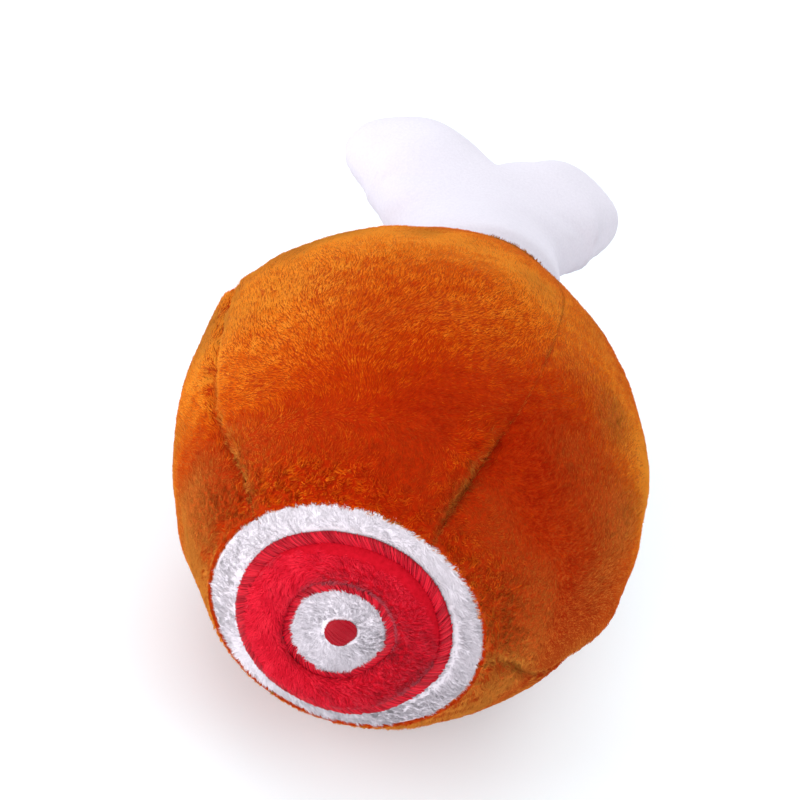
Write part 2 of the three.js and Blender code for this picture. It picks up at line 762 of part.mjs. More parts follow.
// Closing thread, sewn to and fro over the left seam towards the neck
function closingThreadGeometry() {
  const seam = seamAngles[2];
  const next = seamAngles[3];
  const lift = seamGap + threadRadius;
  const start = rearLength - threadToNeck - threadLength;
  const place = (along) => {
    const y = start + threadLength * along;
    const angle = seamAngle(seam, y);
    const span = seamAngle(next, y) - angle;
    const swing = (threadSwing * Math.sin(2 * Math.PI * threadWaves * along)) / profileRadius(y);
    const edge = bodyPoint(y, angle, threadSwing / profileRadius(y) / span, span, 0);
    const reach = Math.hypot(edge.x, edge.z) + lift * Math.hypot(1, profileSlope(y));
    return new THREE.Vector3(reach * Math.cos(angle + swing), y, reach * Math.sin(angle + swing));
  };
  const count = threadWaves * threadSteps;
  const step = 1 / count / 4;
  const rings = [];
  for (let i = 0; i <= count; i += 1) {
    const along = i / count;
    const centre = place(along);
    const ahead = place(Math.min(along + step, 1)).sub(place(Math.max(along - step, 0))).normalize();
    const out = new THREE.Vector3(centre.x, 0, centre.z).normalize();
    const side = new THREE.Vector3().crossVectors(ahead, out).normalize();
    const up = new THREE.Vector3().crossVectors(side, ahead);
    const ring = [];
    for (let k = 0; k < threadSides; k += 1) {
      const turn = (2 * Math.PI * k) / threadSides;
      const point = centre.clone().addScaledVector(up, threadRadius * Math.cos(turn));
      ring.push(point.addScaledVector(side, threadRadius * Math.sin(turn)));
    }
    rings.push(ring);
  }
  return ringGeometry(rings, place(0), place(1));
}

addPiece(toy, 'closing_thread', closingThreadGeometry(), colours.thread);

// The toy stands on the floor with its box centred over the origin
const box = new THREE.Box3().setFromObject(toy, true);
const middle = box.getCenter(new THREE.Vector3());
toy.position.set(-middle.x, -middle.y, -box.min.z);

export default toy;
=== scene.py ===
"""Looks of the squeaky plush ham: its cloth, pile, stitching and filling, with floor, light and camera."""
import json
import math

import bpy
import numpy as np
from mathutils import Matrix, Vector, kdtree

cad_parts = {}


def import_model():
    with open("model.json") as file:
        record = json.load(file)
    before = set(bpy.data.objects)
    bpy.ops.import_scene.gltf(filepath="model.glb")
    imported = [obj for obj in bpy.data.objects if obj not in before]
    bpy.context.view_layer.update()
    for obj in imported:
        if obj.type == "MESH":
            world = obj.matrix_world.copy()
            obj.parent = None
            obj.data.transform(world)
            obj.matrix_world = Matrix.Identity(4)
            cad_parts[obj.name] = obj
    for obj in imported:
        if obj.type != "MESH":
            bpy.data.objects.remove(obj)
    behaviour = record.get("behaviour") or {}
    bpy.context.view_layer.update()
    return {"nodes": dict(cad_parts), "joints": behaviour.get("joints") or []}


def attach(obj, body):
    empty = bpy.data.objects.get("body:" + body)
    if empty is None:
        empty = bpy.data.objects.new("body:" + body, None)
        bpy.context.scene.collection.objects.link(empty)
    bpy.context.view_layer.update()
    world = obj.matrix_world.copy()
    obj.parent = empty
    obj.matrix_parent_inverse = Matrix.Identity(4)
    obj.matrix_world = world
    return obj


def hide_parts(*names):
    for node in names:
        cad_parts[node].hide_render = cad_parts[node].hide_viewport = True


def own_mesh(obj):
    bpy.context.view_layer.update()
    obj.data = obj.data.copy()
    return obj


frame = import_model()

# Lengths are in millimetres until a mesh is made
MM = 0.001

# Body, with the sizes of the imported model
BODY_RADIUS = 60
FRONT_LENGTH = 60
REAR_LENGTH = 74
NECK_RADIUS = 24.5
FACE_RADIUS = 31.7
SEAM_RADIUS = 33
FRONT_POWER = 2
FRONT_TAPER = 1.05
REAR_POWER = 1.6
REAR_TAPER = 1.1
END_POWER = 4
PANEL_BULGE = 1.3
SEAM_DIP = 1.5
SEAM_DIP_WIDTH = 2.2
SAG_START = 47
SAG_ROOM = 7
SAG_POWER = 4
REST_CUT = 0.5
UNDER_FILL = 8
UNDER_LENGTH = 32
UNDER_REACH = 24
BODY_SLACK = 1.1
# Places on the body where the stuffing is fuller or slacker: degrees round it, millimetres along it, how
# far it swells, and how far that reaches across and along
FULLER = (
    (160, 7, 3.3, 15, 13),
    (125, 14, -0.8, 14, 12),
    (68, 26, 1.0, 12, 12),
    (48, 34, 2.6, 17, 17),
    (352, -15, 2.9, 10, 12),
    (10, 4, -1.8, 9, 11),
    (200, -32, -1.3, 12, 11),
    (335, -45, -0.8, 10, 8),
)
# Places where the pile's tone is painted lighter or deeper to stand for light and shade: painted light on the
# upper left, the top and the rims, painted shade where the body faces the front and on the lower right. The
# same columns, with steps of tone in the place of the swell
PAINTED_LIGHT_AND_SHADE = (
    (138, -5, 4.2, 34, 35),
    (105, 22, 3.4, 60, 14),
    (76, 4, 3.2, 22, 18),
    (100, -20, 0.8, 26, 16),
    (38, -10, 0.8, 12, 12),
    (165, -20, 2.4, 14, 22),
    (190, -25, 1.8, 20, 16),
    (166, -48, -2.4, 15, 12),
    (22, 2, 2.4, 24, 20),
    (20, 2, 3.0, 30, 11),
    (85, -46, -1.0, 24, 20),
    (80, -43, 1.6, 5, 9),
    (50, -28, -1.2, 26, 16),
    (15, -44, -1.4, 20, 16),
    (335, -38, -2.6, 30, 24),
)
OVAL_SWELL = 2.2
OVAL_ANGLE = math.radians(147)
# Angles of the seams in degrees, at the cut face and at the waist
SEAMS = [(5, -18), (70, 70), (148, 158), (254, 250), (365, 342)]
SEAM_DRIFT_SHARE = 0.45
PANELS = ["panel_right", "panel_top", "panel_left", "panel_bottom"]
SEAM_GAP = 0.3
LEAST_GAP = 0.1
CLOSED_BULGE = 0.35
# The seam at the upper right lies open as a dart near the cut face, and closes over between two places
# along the body. Its folds are a ridge and a crease: distance from the seam, height and reach
DART_SEAM = 1
DART_CLOSING = (-42, -24)
FOLDS_END = -26
DART_FOLDS = ((5, 1.7, 3.8), (0, -1.5, 1.3))
# The seam at the lower right fades between two places, and the other two close a little at one
FADING_SEAMS = (0, 4)
FADING = (-40, -5)
FADING_SHARE = 0.8
CLOSED_PLACE = 12
CLOSED_REACH = 9
CLOSED_SHARE = 0.55
# The seam at the left is drawn in at one place, with a knuckle of cloth behind it: place along the body,
# distance from the seam, height, and reach along and across
TUCKS = ((1, 0, -2.6, 2.6, 2.2), (8, 3, 0.9, 3.5, 3.5))
# Uneven fields: the height, the wavelength in millimetres and, where it is fixed, the seed
BODY_FIELDS = ((0.55, 46, 3), (0.22, 19, 4))
PINCH_DEPTH = 0.9
PINCH_REACH = 1.3
GATHER_DEPTH = 0.3
GATHER_PITCH = 6.3
GATHER_DRIFT = (1.5, 25)
GATHER_REACH = 4.5

# Cloth and pile of the body
PILE_DEPTH = 0.6
CLOTH = 0.8
ROLL = 1.2
ALLOWANCE = 5
# How the cloth rolls in at the body's ends: shares of the roll inwards, and millimetres back under it
END_ROLL = ((0.6, 0.03), (1, 1.2), (1, 4))
FACE_CLEARANCE = 0.4
ROOT_CLEARANCE = 0.45
PANEL_ROWS = 190
PANEL_COLUMNS = 100
EVEN_SHARE = 0.5
CROWDED_SHARE = 0.35
PILE_DENSITY = 9.2
PILE_LENGTH = 1.15
RUFFLED_LENGTH = 1.6
PILE_WIDTH = 0.22
STRAND_FACET = 0.2
STRAND_LEAN = -0.3
STRAND_SINK = 0.08
KEEL_SHARE = 0.45
MOST_STRANDS = 49000
FLOOR_CLEARANCE = 0.05
LENGTH_SHARES = (0.75, 1.15)
WIDTH_SHARES = (0.75, 1.25)
RUFFLED_WIDTH = 0.3
TUFT = 16
PILE_CLUMPS = (0.2, 0.5)
PILE_TILT = 74
RUFFLED_TILT = 30
TILT_SPREAD = 4
TILT_LIMITS = (0.2, 1.42)
TILT_FIELDS = ((2, 24, 30), (4, 3, 31))
NAP_WAVE = 62
NAP_EDDIES = (0.35, 21)
NAP_SPREAD = 0.22
RUFFLED_SPREAD = 0.3
PANEL_TURN = 0.45
# Places along the body between which the pile is ruffled or turned to grow backwards
FACE_RUFFLE = (-60, -47)
DART_RUFFLE = (-38, -24)
BACKWARDS_FROM = (-50, -36)
BACKWARDS_TO = (50, 62)
# How far the pile is ruffled beside the dart, on the panel under it and the panel over it
DART_REACH = {0: 2, 1: 8}
RUFFLE_REACH = 2.6
RUFFLE_SHARE = 0.85
RUFFLE_LEAST = 0.05
RUFFLE_FIELD = (0.12, 14, 33)
RUFFLE_CURL = 0.9
CURL_FIELD = (4, 34)
# Strands close to an open seam are painted darker in tone, as painted shade in the seam's crease, and their
# shading normals are turned out from the axis
CREASE_REACH = 1.1
PAINTED_SEAM_SHADE = 2.6
CREASE_LIFT = 0.85
# Strands are shorter round the cut face, apart from its top
SHORTER_FROM = (56, 59.5)
SHORTER_SHARE = 0.55
TOP_ANGLE = 1.35
TOP_REACH = 0.9
# Tones, in steps of the sets of colours below
PILE_SHADE = 1.7
SHADE_FIELDS = ((0.3, 34, 50), (0.35, 4, 51))
SHADE_SPREAD = 0.65
RUFFLED_SHADE = 0.9
RUFFLED_FIELD = (0.35, 3, 52)

# Cut face
FACE_DOME = 4.6
MEAT_OUTER = 22.5
MEAT_INNER = 14.3
BORDER_WIDTH = 2.7
MARROW_RADIUS = 10.7
DOT_RADIUS = 4
DOT_PLACE = (0.2, 2.2)
PATCH_EDGE = 0.3
FULL_TURN = 241
FACE_LUMPS = ((0.35, 30, 60), (0.15, 12, 61))
# The rings are sewn by hand: taller than wide, with two lesser bends, and shifted a little
EVEN_RADIUS = 32
RING_OVAL = 0.11
RING_OVAL_ANGLE = math.radians(80)
RING_BENDS = (0.02, 0.014)
RING_SHIFT = (-0.4, 0.3)

# Bone
BONE_LEAN = 12
ROOT_RADIUS = 21.6
ROOT_DEPTH = 6
HEM_START = 7.2
HEM_RUN = 5
SHAFT_RADIUS = 24
SHAFT_TOP_RADIUS = 23.2
SHAFT_LENGTH = 37
LOBE_RADIUS = 20
LOBE_SPREAD = 21.5
LOBE_LENGTH = 61
NOTCH_RADIUS = 5
BONE_FLAT_SHARE = 0.78
BONE_EDGE_POWER = 0.75
BONE_NAP = 0.3
BONE_SEAM = 0.02
BONE_OVERLAP = 0.12
# The cloth is drawn in by this share where the body's neck holds it, up to between these places
BONE_TUCK = 0.05
TUCKED_TO = (28, 35)
BONE_UNDER_SHARE = 0.66
BONE_UNDER_INSET = 0.08
BONE_LINING = 1.6
BONE_SMOOTHING = 60
BONE_ROWS = 150
BONE_COLUMNS = 70
OUTLINE_POINTS = 1200
SPINE_CLEARANCE = 1.2
LEAST_WIDTH = 0.05
# Places along the bone, or distances from its seam, between which its form changes
FLATTENING = (7, 38)
PINCHING = (56, 72)
NECK_EDGE_POWER = 0.52
SMOOTHED_FROM = (1, 7)
BONE_LUMPS = ((0.5, 34, 120), (0.15, 14, 121))
LUMPS_FROM = (0, 8)
BONE_CREASE = 0.45
BONE_PITCH = 3.7
BONE_DRIFT = (1.8, 20)
BONE_REACH = 2.6
GATHERED_FROM = (0.3, 1.5)
FIELDS_APART = 40.0
MORE_GATHERS = 1.2
MORE_GATHERS_FROM = (10, 22)
MORE_GATHERS_TO = (54, 62)
LOWER_SHARE = 0.2
LOWER_FROM = (14, 28)
LOWER_TO = (56, 66)
# What the hand-filled bone adds on its left and its right: webs beside the neck, and where they lie and how
# far they reach along it, wider lobes, and slack cloth by the notch
WEB_SWELL = (9, 8)
WEB_PLACE = (41, 43)
WEB_REACH = (12, 10)
WEB_FROM = (4, 19)
WEB_TO = (22, 38)
LOBE_SWELL = (1.6, 0.8)
LOBE_SWELL_FROM = (24, 38)
LOBE_SWELL_UP = (48, 62)
NOTCH_SLACK = (0.4, 1.6)
SLACK_PLACE = 11
SLACK_REACH = 6
SLACK_FROM = (58, 68)

pivot = next(j for j in frame["joints"] if j["name"] == "bone_sway")["pos_m"]
PIVOT = np.array(pivot) / MM
ORIGIN = PIVOT - np.array([0, REAR_LENGTH, 0])


def smoothstep(x, low, high):
    t = np.clip((x - low) / (high - low), 0, 1)
    return t * t * (3 - 2 * t)


def lerp(a, b, share):
    return a + (b - a) * share


def bell(*offsets):
    """1 where every offset is zero, fading out as one passes 1"""
    return np.exp(-sum(offset**2 for offset in offsets))


def normalised(v):
    return v / np.maximum(np.linalg.norm(v, axis=-1, keepdims=True), 1e-9)


def turn_from(angle, start):
    """The turn between two angles, from minus to plus half a turn"""
    return (angle - start + math.pi) % (2 * math.pi) - math.pi


def angle_of(points):
    return np.arctan2(points[:, 2], points[:, 0])


def ripple(points, wavelength, seed, count=16):
    """A smooth random field of about unit height, made of plane waves"""
    rng = np.random.default_rng(seed)
    directions = normalised(rng.normal(size=(count, 3)))
    waves = directions * rng.uniform(0.6, 1.4, (count, 1)) * 2 * math.pi / wavelength
    phases = rng.uniform(0, 2 * math.pi, count)
    return np.cos(points @ waves.T + phases).sum(-1) / math.sqrt(count / 2)


def field(points, height, wavelength, seed):
    return height * ripple(points, wavelength, seed)


def fields(points, value, parts):
    return sum((field(points, *part) for part in parts), value)


# Shape of the body


def profile_radius(y):
    front = np.clip(-y / FRONT_LENGTH, 0, 1)
    rear = np.clip(y / REAR_LENGTH, 0, 1)
    ahead = SEAM_RADIUS + (BODY_RADIUS - SEAM_RADIUS) * (1 - front**FRONT_POWER) ** FRONT_TAPER
    behind = NECK_RADIUS + (BODY_RADIUS - NECK_RADIUS) * (1 - rear**REAR_POWER) ** REAR_TAPER
    return np.where(y < 0, ahead, behind)


def profile_slope(y):
    step = REAR_LENGTH / 1000
    low = np.maximum(y - step, -FRONT_LENGTH)
    high = np.minimum(y + step, REAR_LENGTH)
    return (profile_radius(high) - profile_radius(low)) / (high - low)


def seam_angle(index, y):
    at_face, at_waist = SEAMS[index]
    start = -FRONT_LENGTH * (1 - SEAM_DRIFT_SHARE)
    drift = 1 - smoothstep(y, -FRONT_LENGTH, start)
    return np.radians(at_waist + (at_face - at_waist) * drift)


def settle(over):
    return over / (1 + (over / SAG_ROOM) ** SAG_POWER) ** (1 / SAG_POWER)


REST_LEVEL = -(SAG_START + settle(BODY_RADIUS - SAG_START) - REST_CUT)


def seam_strength(index, y):
    """How open each seam lies: the upper right one closes over behind its crease"""
    if index == DART_SEAM:
        return 1 - smoothstep(y, *DART_CLOSING)
    if index in FADING_SEAMS:
        return 1 - FADING_SHARE * smoothstep(y, *FADING)
    return 1 - CLOSED_SHARE * bell((y - CLOSED_PLACE) / CLOSED_REACH)


def relief(panel, y, angle, to_low, to_high, ends):
    """Unevenness of the stuffed cloth, in millimetres outwards"""
    radius = profile_radius(y)
    place = np.stack([radius * np.cos(angle), y, radius * np.sin(angle)], -1)
    out = fields(place, 0, BODY_FIELDS)
    for index, distance in ((panel, to_low), (panel + 1, to_high)):
        pinch = PINCH_DEPTH * bell(distance / PINCH_REACH)
        gathers = np.cos(2 * math.pi * y / GATHER_PITCH + field(place, *GATHER_DRIFT, 7 + index))
        gathers = GATHER_DEPTH * gathers * np.exp(-distance / GATHER_REACH)
        out = out - seam_strength(index, y) * (pinch - gathers)
    if panel == DART_SEAM:
        near = 1 - smoothstep(y, DART_CLOSING[0], FOLDS_END)
        for middle, height, reach in DART_FOLDS:
            out = out + height * near * bell((to_low - middle) / reach)
    if panel in (1, 2):
        to_left_seam = to_high if panel == 1 else to_low
        for along, aside, height, length, width in TUCKS:
            out = out + height * bell((y - along) / length, (to_left_seam - aside) / width)
    return out * ends


def with_places(value, table, angle, y, radius):
    """A value with what a table of places on the body adds to it"""
    for degrees, place, amount, reach_across, reach_along in table:
        turn = turn_from(angle, math.radians(degrees))
        value = value + amount * bell(turn * radius / reach_across, (y - place) / reach_along)
    return value


def body_skin(panel, y, share, inset):
    """Points of a panel, from places along the body, shares of the way across and the depth under the pile"""
    low = seam_angle(panel, y)
    span = seam_angle(panel + 1, y) - low
    radius = profile_radius(y)
    strengths = (seam_strength(panel, y), seam_strength(panel + 1, y))
    half = SEAM_GAP / 2 * lerp(LEAST_GAP, 1, np.where(share < 0.5, *strengths)) / radius
    angle = low + half + (span - 2 * half) * share
    along = np.where(y < 0, -y / FRONT_LENGTH, y / REAR_LENGTH)
    ends = 1 - along**END_POWER
    to_low = share * span * radius
    to_high = (1 - share) * span * radius
    open_share = np.where(to_low < to_high, *strengths)
    dip = SEAM_DIP * open_share * bell(np.minimum(to_low, to_high) / SEAM_DIP_WIDTH)
    crown = 1 - (1 - 4 * share * (1 - share)) * lerp(CLOSED_BULGE, 1, open_share)
    down = np.maximum(-np.sin(angle), 0) ** 2
    fill = UNDER_FILL * down * bell((y - UNDER_LENGTH) / UNDER_REACH) * ends
    fill = np.where(y < 0, fill * (1 + y / FRONT_LENGTH), fill)
    oval = OVAL_SWELL * np.cos(2 * (angle - OVAL_ANGLE))
    swell = with_places(oval, FULLER, angle, y, radius)
    skin = radius + ends * (swell - BODY_SLACK - PANEL_BULGE * (1 - crown) - dip) + fill
    skin = skin + relief(panel, y, angle, to_low, to_high, ends)
    x = skin * np.cos(angle)
    z = skin * np.sin(angle)
    over = np.maximum(-z - SAG_START, 0)
    z = np.where(z < -SAG_START, np.maximum(-SAG_START - settle(over), REST_LEVEL), z)
    reach = np.hypot(x, z)
    scale = (reach - inset * np.hypot(1, profile_slope(y))) / reach
    return np.stack([x * scale, y, z * scale], -1)


def panel_grid(panel, inset):
    """Grid of points over a panel, with its edges rolled in along the seams and at both ends"""
    turn = np.linspace(-math.pi / 2, math.pi / 2, PANEL_ROWS)
    middle = (REAR_LENGTH - FRONT_LENGTH) / 2
    along = lerp(np.sin(turn), turn / (math.pi / 2), EVEN_SHARE)
    y = middle + (REAR_LENGTH + FRONT_LENGTH) / 2 * along
    even = np.linspace(0, 1, PANEL_COLUMNS)
    share = lerp(even, 0.5 - 0.5 * np.cos(math.pi * even), CROWDED_SHARE)
    ys, shares = np.meshgrid(y, share, indexing="ij")
    grid = body_skin(panel, ys, shares, inset)
    # Front and rear edges turn in round a small roll
    axis = grid * [0, 1, 0]
    spoke = grid - axis
    reach = np.linalg.norm(spoke, axis=-1, keepdims=True)
    spoke = spoke / reach
    front = []
    rear = []
    for drop, back in END_ROLL:
        inner = np.maximum(reach[0] - drop * ROLL, FACE_RADIUS - FACE_CLEARANCE)
        front.insert(0, spoke[0] * inner + axis[0] + [0, back, 0])
        inner = np.maximum(reach[-1] - drop * ROLL, ROOT_RADIUS + ROOT_CLEARANCE)
        rear.append(spoke[-1] * inner + axis[-1] - [0, back, 0])
    grid = np.concatenate([front, grid, rear])
    # Side edges turn in towards the axis, as the allowances do
    radial = normalised(grid * [1, 0, 1])
    low = [grid[:, :1] - radial[:, :1] * depth for depth in (ALLOWANCE, ROLL)]
    high = [grid[:, -1:] - radial[:, -1:] * depth for depth in (ROLL, ALLOWANCE)]
    return np.concatenate([*low, grid, *high], 1)


# Mesh making


def to_row(points, origin=ORIGIN):
    return (np.asarray(points) + origin) * MM


def add_object(name, data):
    added = bpy.data.objects.new(name, data)
    bpy.context.scene.collection.objects.link(added)
    return added


def new_mesh(name, verts, faces, materials, slots=None):
    """A mesh object from arrays: verts (n, 3) in metres, faces (m, corners), and a material for each face"""
    mesh = bpy.data.meshes.new(name)
    corners = faces.shape[1]
    mesh.vertices.add(len(verts))
    mesh.vertices.foreach_set("co", np.ascontiguousarray(verts, np.float32).ravel())
    mesh.loops.add(faces.size)
    mesh.loops.foreach_set("vertex_index", np.ascontiguousarray(faces, np.int32).ravel())
    mesh.polygons.add(len(faces))
    mesh.polygons.foreach_set("loop_start", np.arange(0, faces.size, corners, dtype=np.int32))
    for material in materials:
        mesh.materials.append(material)
    if slots is not None:
        mesh.polygons.foreach_set("material_index", np.ascontiguousarray(slots, np.int32))
    mesh.update(calc_edges=True)
    mesh.shade_smooth()
    return add_object(name, mesh)


def grid_faces(rows, columns, start=0, closed=False):
    """Quads over a grid of points, closed round its columns if asked"""
    i = np.arange(rows - 1)[:, None]
    j = np.arange(columns if closed else columns - 1)[None, :]
    k = (j + 1) % columns
    row = i * columns
    corners = np.broadcast_arrays(row + j, row + k, row + columns + k, row + columns + j)
    return np.stack(corners, -1).reshape(-1, 4) + start


def outward(points, faces):
    """The faces, turned round if the closed mesh is inside out"""
    a, b, c = (points[faces[:, n]] for n in (0, 1, 2))
    volume = np.einsum("ij,ij->i", a, np.cross(b, c)).sum()
    if faces.shape[1] == 4:
        d = points[faces[:, 3]]
        volume += np.einsum("ij,ij->i", a, np.cross(c, d)).sum()
    return faces if volume > 0 else faces[:, ::-1]


def double(name, outer, inner, joints, material, origin=ORIGIN, closed=False):
    """Cloth with an outer and an inner grid of points, and the faces that join their edges"""
    rows, columns = outer.shape[:2]
    faces = np.concatenate([
        grid_faces(rows, columns, closed=closed),
        grid_faces(rows, columns, rows * columns, closed=closed)[:, ::-1],
        *joints,
    ])
    points = np.concatenate([outer.reshape(-1, 3), inner.reshape(-1, 3)])
    faces = outward(points, faces)
    return new_mesh(name, to_row(points, origin), faces, [material]), faces


SHARP_ANGLE = math.radians(62)
# The outer side takes one half of the bake map, and the inner side the other
MAP_ROWS = (0.01, 0.99)
MAP_COLUMNS = (0.01, 0.48)
MAP_SHIFT = 0.51


def shell(name, outer, inner, material, origin=ORIGIN):
    """Cloth joined all round its edge, with its own bake map"""
    rows, columns = outer.shape[:2]
    back = rows * columns
    index = np.arange(back).reshape(rows, columns)
    rim = np.concatenate([index[0, :-1], index[:-1, -1], index[-1, :0:-1], index[:0:-1, 0]])
    ahead = np.roll(rim, -1)
    joint = np.stack([ahead, rim, rim + back, ahead + back], -1)
    piece, faces = double(name, outer, inner, [joint], material, origin)
    piece.data.set_sharp_from_angle(angle=SHARP_ANGLE)
    u, v = np.meshgrid(np.linspace(*MAP_ROWS, rows), np.linspace(*MAP_COLUMNS, columns), indexing="ij")
    spread = np.stack([u, v], -1).reshape(-1, 2)
    places = np.concatenate([spread, spread + [0, MAP_SHIFT]])
    layer = piece.data.uv_layers.new(name="OFBake")
    layer.data.foreach_set("uv", places[faces.ravel()].astype(np.float32).ravel())
    return piece


def scatter(grid, density, rng):
    """Random places on a grid, evenly by area: points, normals, and directions along rows and columns"""
    a = grid[:-1, :-1]
    b = grid[:-1, 1:]
    c = grid[1:, :-1]
    area = np.linalg.norm(np.cross(b - a, c - a), axis=-1).ravel()
    count = int(area.sum() * density)
    cells = rng.choice(area.size, count, p=area / area.sum())
    i, j = np.divmod(cells, grid.shape[1] - 1)
    u = rng.random(count)[:, None]
    v = rng.random(count)[:, None]
    across = normalised(np.gradient(grid, axis=1))
    along = normalised(np.gradient(grid, axis=0))
    normals = normalised(np.cross(across, along))

    def mixed(values):
        top = lerp(values[i, j], values[i, j + 1], v)
        return lerp(top, lerp(values[i + 1, j], values[i + 1, j + 1], v), u)

    points = mixed(grid)
    outwards = normalised(mixed(normals))
    if np.einsum("ij,ij->i", outwards, points).mean() < 0:
        outwards = -outwards
    return points, outwards, normalised(mixed(across)), normalised(mixed(along))


def gather(points, tips, spacing, strength, rng):
    """Draws the tips of neighbouring strands together into small tufts"""
    chosen = np.flatnonzero(rng.random(len(points)) < 1 / spacing)
    tree = kdtree.KDTree(len(chosen))
    for n, place in enumerate(points[chosen].tolist()):
        tree.insert(place, n)
    tree.balance()
    nearest = np.array([tree.find(place)[1] for place in points.tolist()])
    return tips + (tips[chosen[nearest]] - tips) * strength[:, None]


def pile(name, points, normals, lie, length, width, tones, tone, slot, tuft, clump, rng, floor=None):
    """Tapered strands, each a closed spike that leans along lie, shaded softly as the cloth under it is"""
    side = normalised(np.cross(lie, normals))
    top = np.cross(side, lie)
    root = points - normals * STRAND_SINK
    wide = side * (width / 2)[:, None]
    tip = gather(points, points + lie * length[:, None], tuft, clump, rng)
    keel = root - top * (width * KEEL_SHARE)[:, None]
    verts = np.stack([root + wide, root - wide, keel, tip], 1)
    if floor is not None:
        verts[:, :, 2] = np.maximum(verts[:, :, 2], floor)
    turned = rng.normal(0, STRAND_FACET, (len(points), 1))
    shading = normalised(normals + side * turned + lie * STRAND_LEAN)
    shading = np.repeat(shading[:, None], 4, axis=1)
    spike = np.array([[1, 0, 3], [0, 2, 3], [2, 1, 3], [0, 1, 2]])
    chunks = math.ceil(len(points) / MOST_STRANDS)
    order = np.arange(len(points)) % chunks
    for n in range(chunks):
        mine = order == n
        inside = verts[mine].reshape(-1, 3)
        faces = (np.arange(mine.sum())[:, None, None] * 4 + spike).reshape(-1, 3)
        label = name if chunks == 1 else f"{name}_{n + 1}"
        piece = new_mesh(label, to_row(inside), faces, tones, np.repeat(tone[mine], 4))
        piece.data.normals_split_custom_set_from_vertices(shading[mine].reshape(-1, 3).tolist())
        worn(piece, "ham", slot)


THREAD_END = 0.05


def tubes(name, paths, ups, radius, sides, materials, tone=None):
    """Threads: paths (n, steps, 3) with an up direction at each point, tapered and closed at both ends"""
    count, steps = paths.shape[:2]
    along = normalised(np.gradient(paths, axis=1))
    side = normalised(np.cross(along, ups))
    top = np.cross(side, along)
    taper = np.ones(steps)
    taper[[0, -1]] = THREAD_END
    turn = np.linspace(0, 2 * math.pi, sides, endpoint=False)
    ring = side[:, :, None] * np.cos(turn)[:, None] + top[:, :, None] * np.sin(turn)[:, None]
    thick = (np.asarray(radius) * np.ones(count))[:, None, None, None] * taper[None, :, None, None]
    verts = (paths[:, :, None] + ring * thick).reshape(-1, 3)
    each = steps * sides
    quads = grid_faces(steps, sides, closed=True)
    one = np.concatenate([quads[:, [0, 1, 2]], quads[:, [0, 2, 3]]])
    fan = np.array([[0, n + 1, n] for n in range(1, sides - 1)])
    one = np.concatenate([one, fan, fan[:, [0, 2, 1]] + each - sides])
    one = outward(verts[:each] - verts[:each].mean(0), one)
    faces = (np.arange(count)[:, None, None] * each + one).reshape(-1, 3)
    slots = None if tone is None else np.repeat(tone, len(one))
    return new_mesh(name, to_row(verts), faces, materials, slots)


def worn(piece, body, slot, *nodes):
    """Puts a piece on its body and hides the nodes it stands for; the slot is not used"""
    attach(piece, body)
    if nodes:
        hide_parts(*nodes)
    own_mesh(piece)


# Materials


GLOW_DEPTH = 0.0004
BUMP_DEPTH = 0.0005
NOISE_DETAIL = 4
NOISE_ROUGHNESS = 0.65
NOISE_SPAN = (0.3, 0.7)


def shader(name, roughness, sheen=0.0, sheen_tint=(1, 1, 1), sheen_roughness=0.35, specular=0.3, glow=0.0,
           glow_reach=(1, 1, 1)):
    material = bpy.data.materials.new(name)
    material.use_nodes = True
    principled = material.node_tree.nodes["Principled BSDF"]
    values = {
        "Roughness": roughness,
        "Specular IOR Level": specular,
        "Sheen Weight": sheen,
        "Sheen Roughness": sheen_roughness,
        "Sheen Tint": (*sheen_tint, 1),
        "Subsurface Weight": glow,
        "Subsurface Radius": glow_reach,
        "Subsurface Scale": GLOW_DEPTH,
    }
    for socket, value in values.items():
        principled.inputs[socket].default_value = value
    return material, principled


def plain(name, colour, roughness, **settings):
    material, principled = shader(name, roughness, **settings)
    principled.inputs["Base Color"].default_value = (*colour, 1)
    return material


def mottled(name, dark, light, scale, bump, roughness, **settings):
    """Two colours mixed by noise, with a fine bump of the same noise"""
    material, principled = shader(name, roughness, **settings)
    nodes = material.node_tree.nodes
    links = material.node_tree.links
    place = nodes.new("ShaderNodeTexCoord")
    noise = nodes.new("ShaderNodeTexNoise")
    noise.inputs["Scale"].default_value = scale
    noise.inputs["Detail"].default_value = NOISE_DETAIL
    noise.inputs["Roughness"].default_value = NOISE_ROUGHNESS
    ramp = nodes.new("ShaderNodeValToRGB")
    for element, position, colour in zip(ramp.color_ramp.elements, NOISE_SPAN, (dark, light)):
        element.position = position
        element.color = (*colour, 1)
    bumps = nodes.new("ShaderNodeBump")
    bumps.inputs["Strength"].default_value = bump
    bumps.inputs["Distance"].default_value = BUMP_DEPTH
    links.new(place.outputs["Object"], noise.inputs["Vector"])
    links.new(noise.outputs["Fac"], ramp.inputs["Fac"])
    links.new(ramp.outputs["Color"], principled.inputs["Base Color"])
    links.new(noise.outputs["Fac"], bumps.inputs["Height"])
    links.new(bumps.outputs["Normal"], principled.inputs["Normal"])
    return material


def tone_set(name, colours, roughness, **settings):
    return [plain(f"{name}_{n}", colour, roughness, **settings) for n, colour in enumerate(colours)]


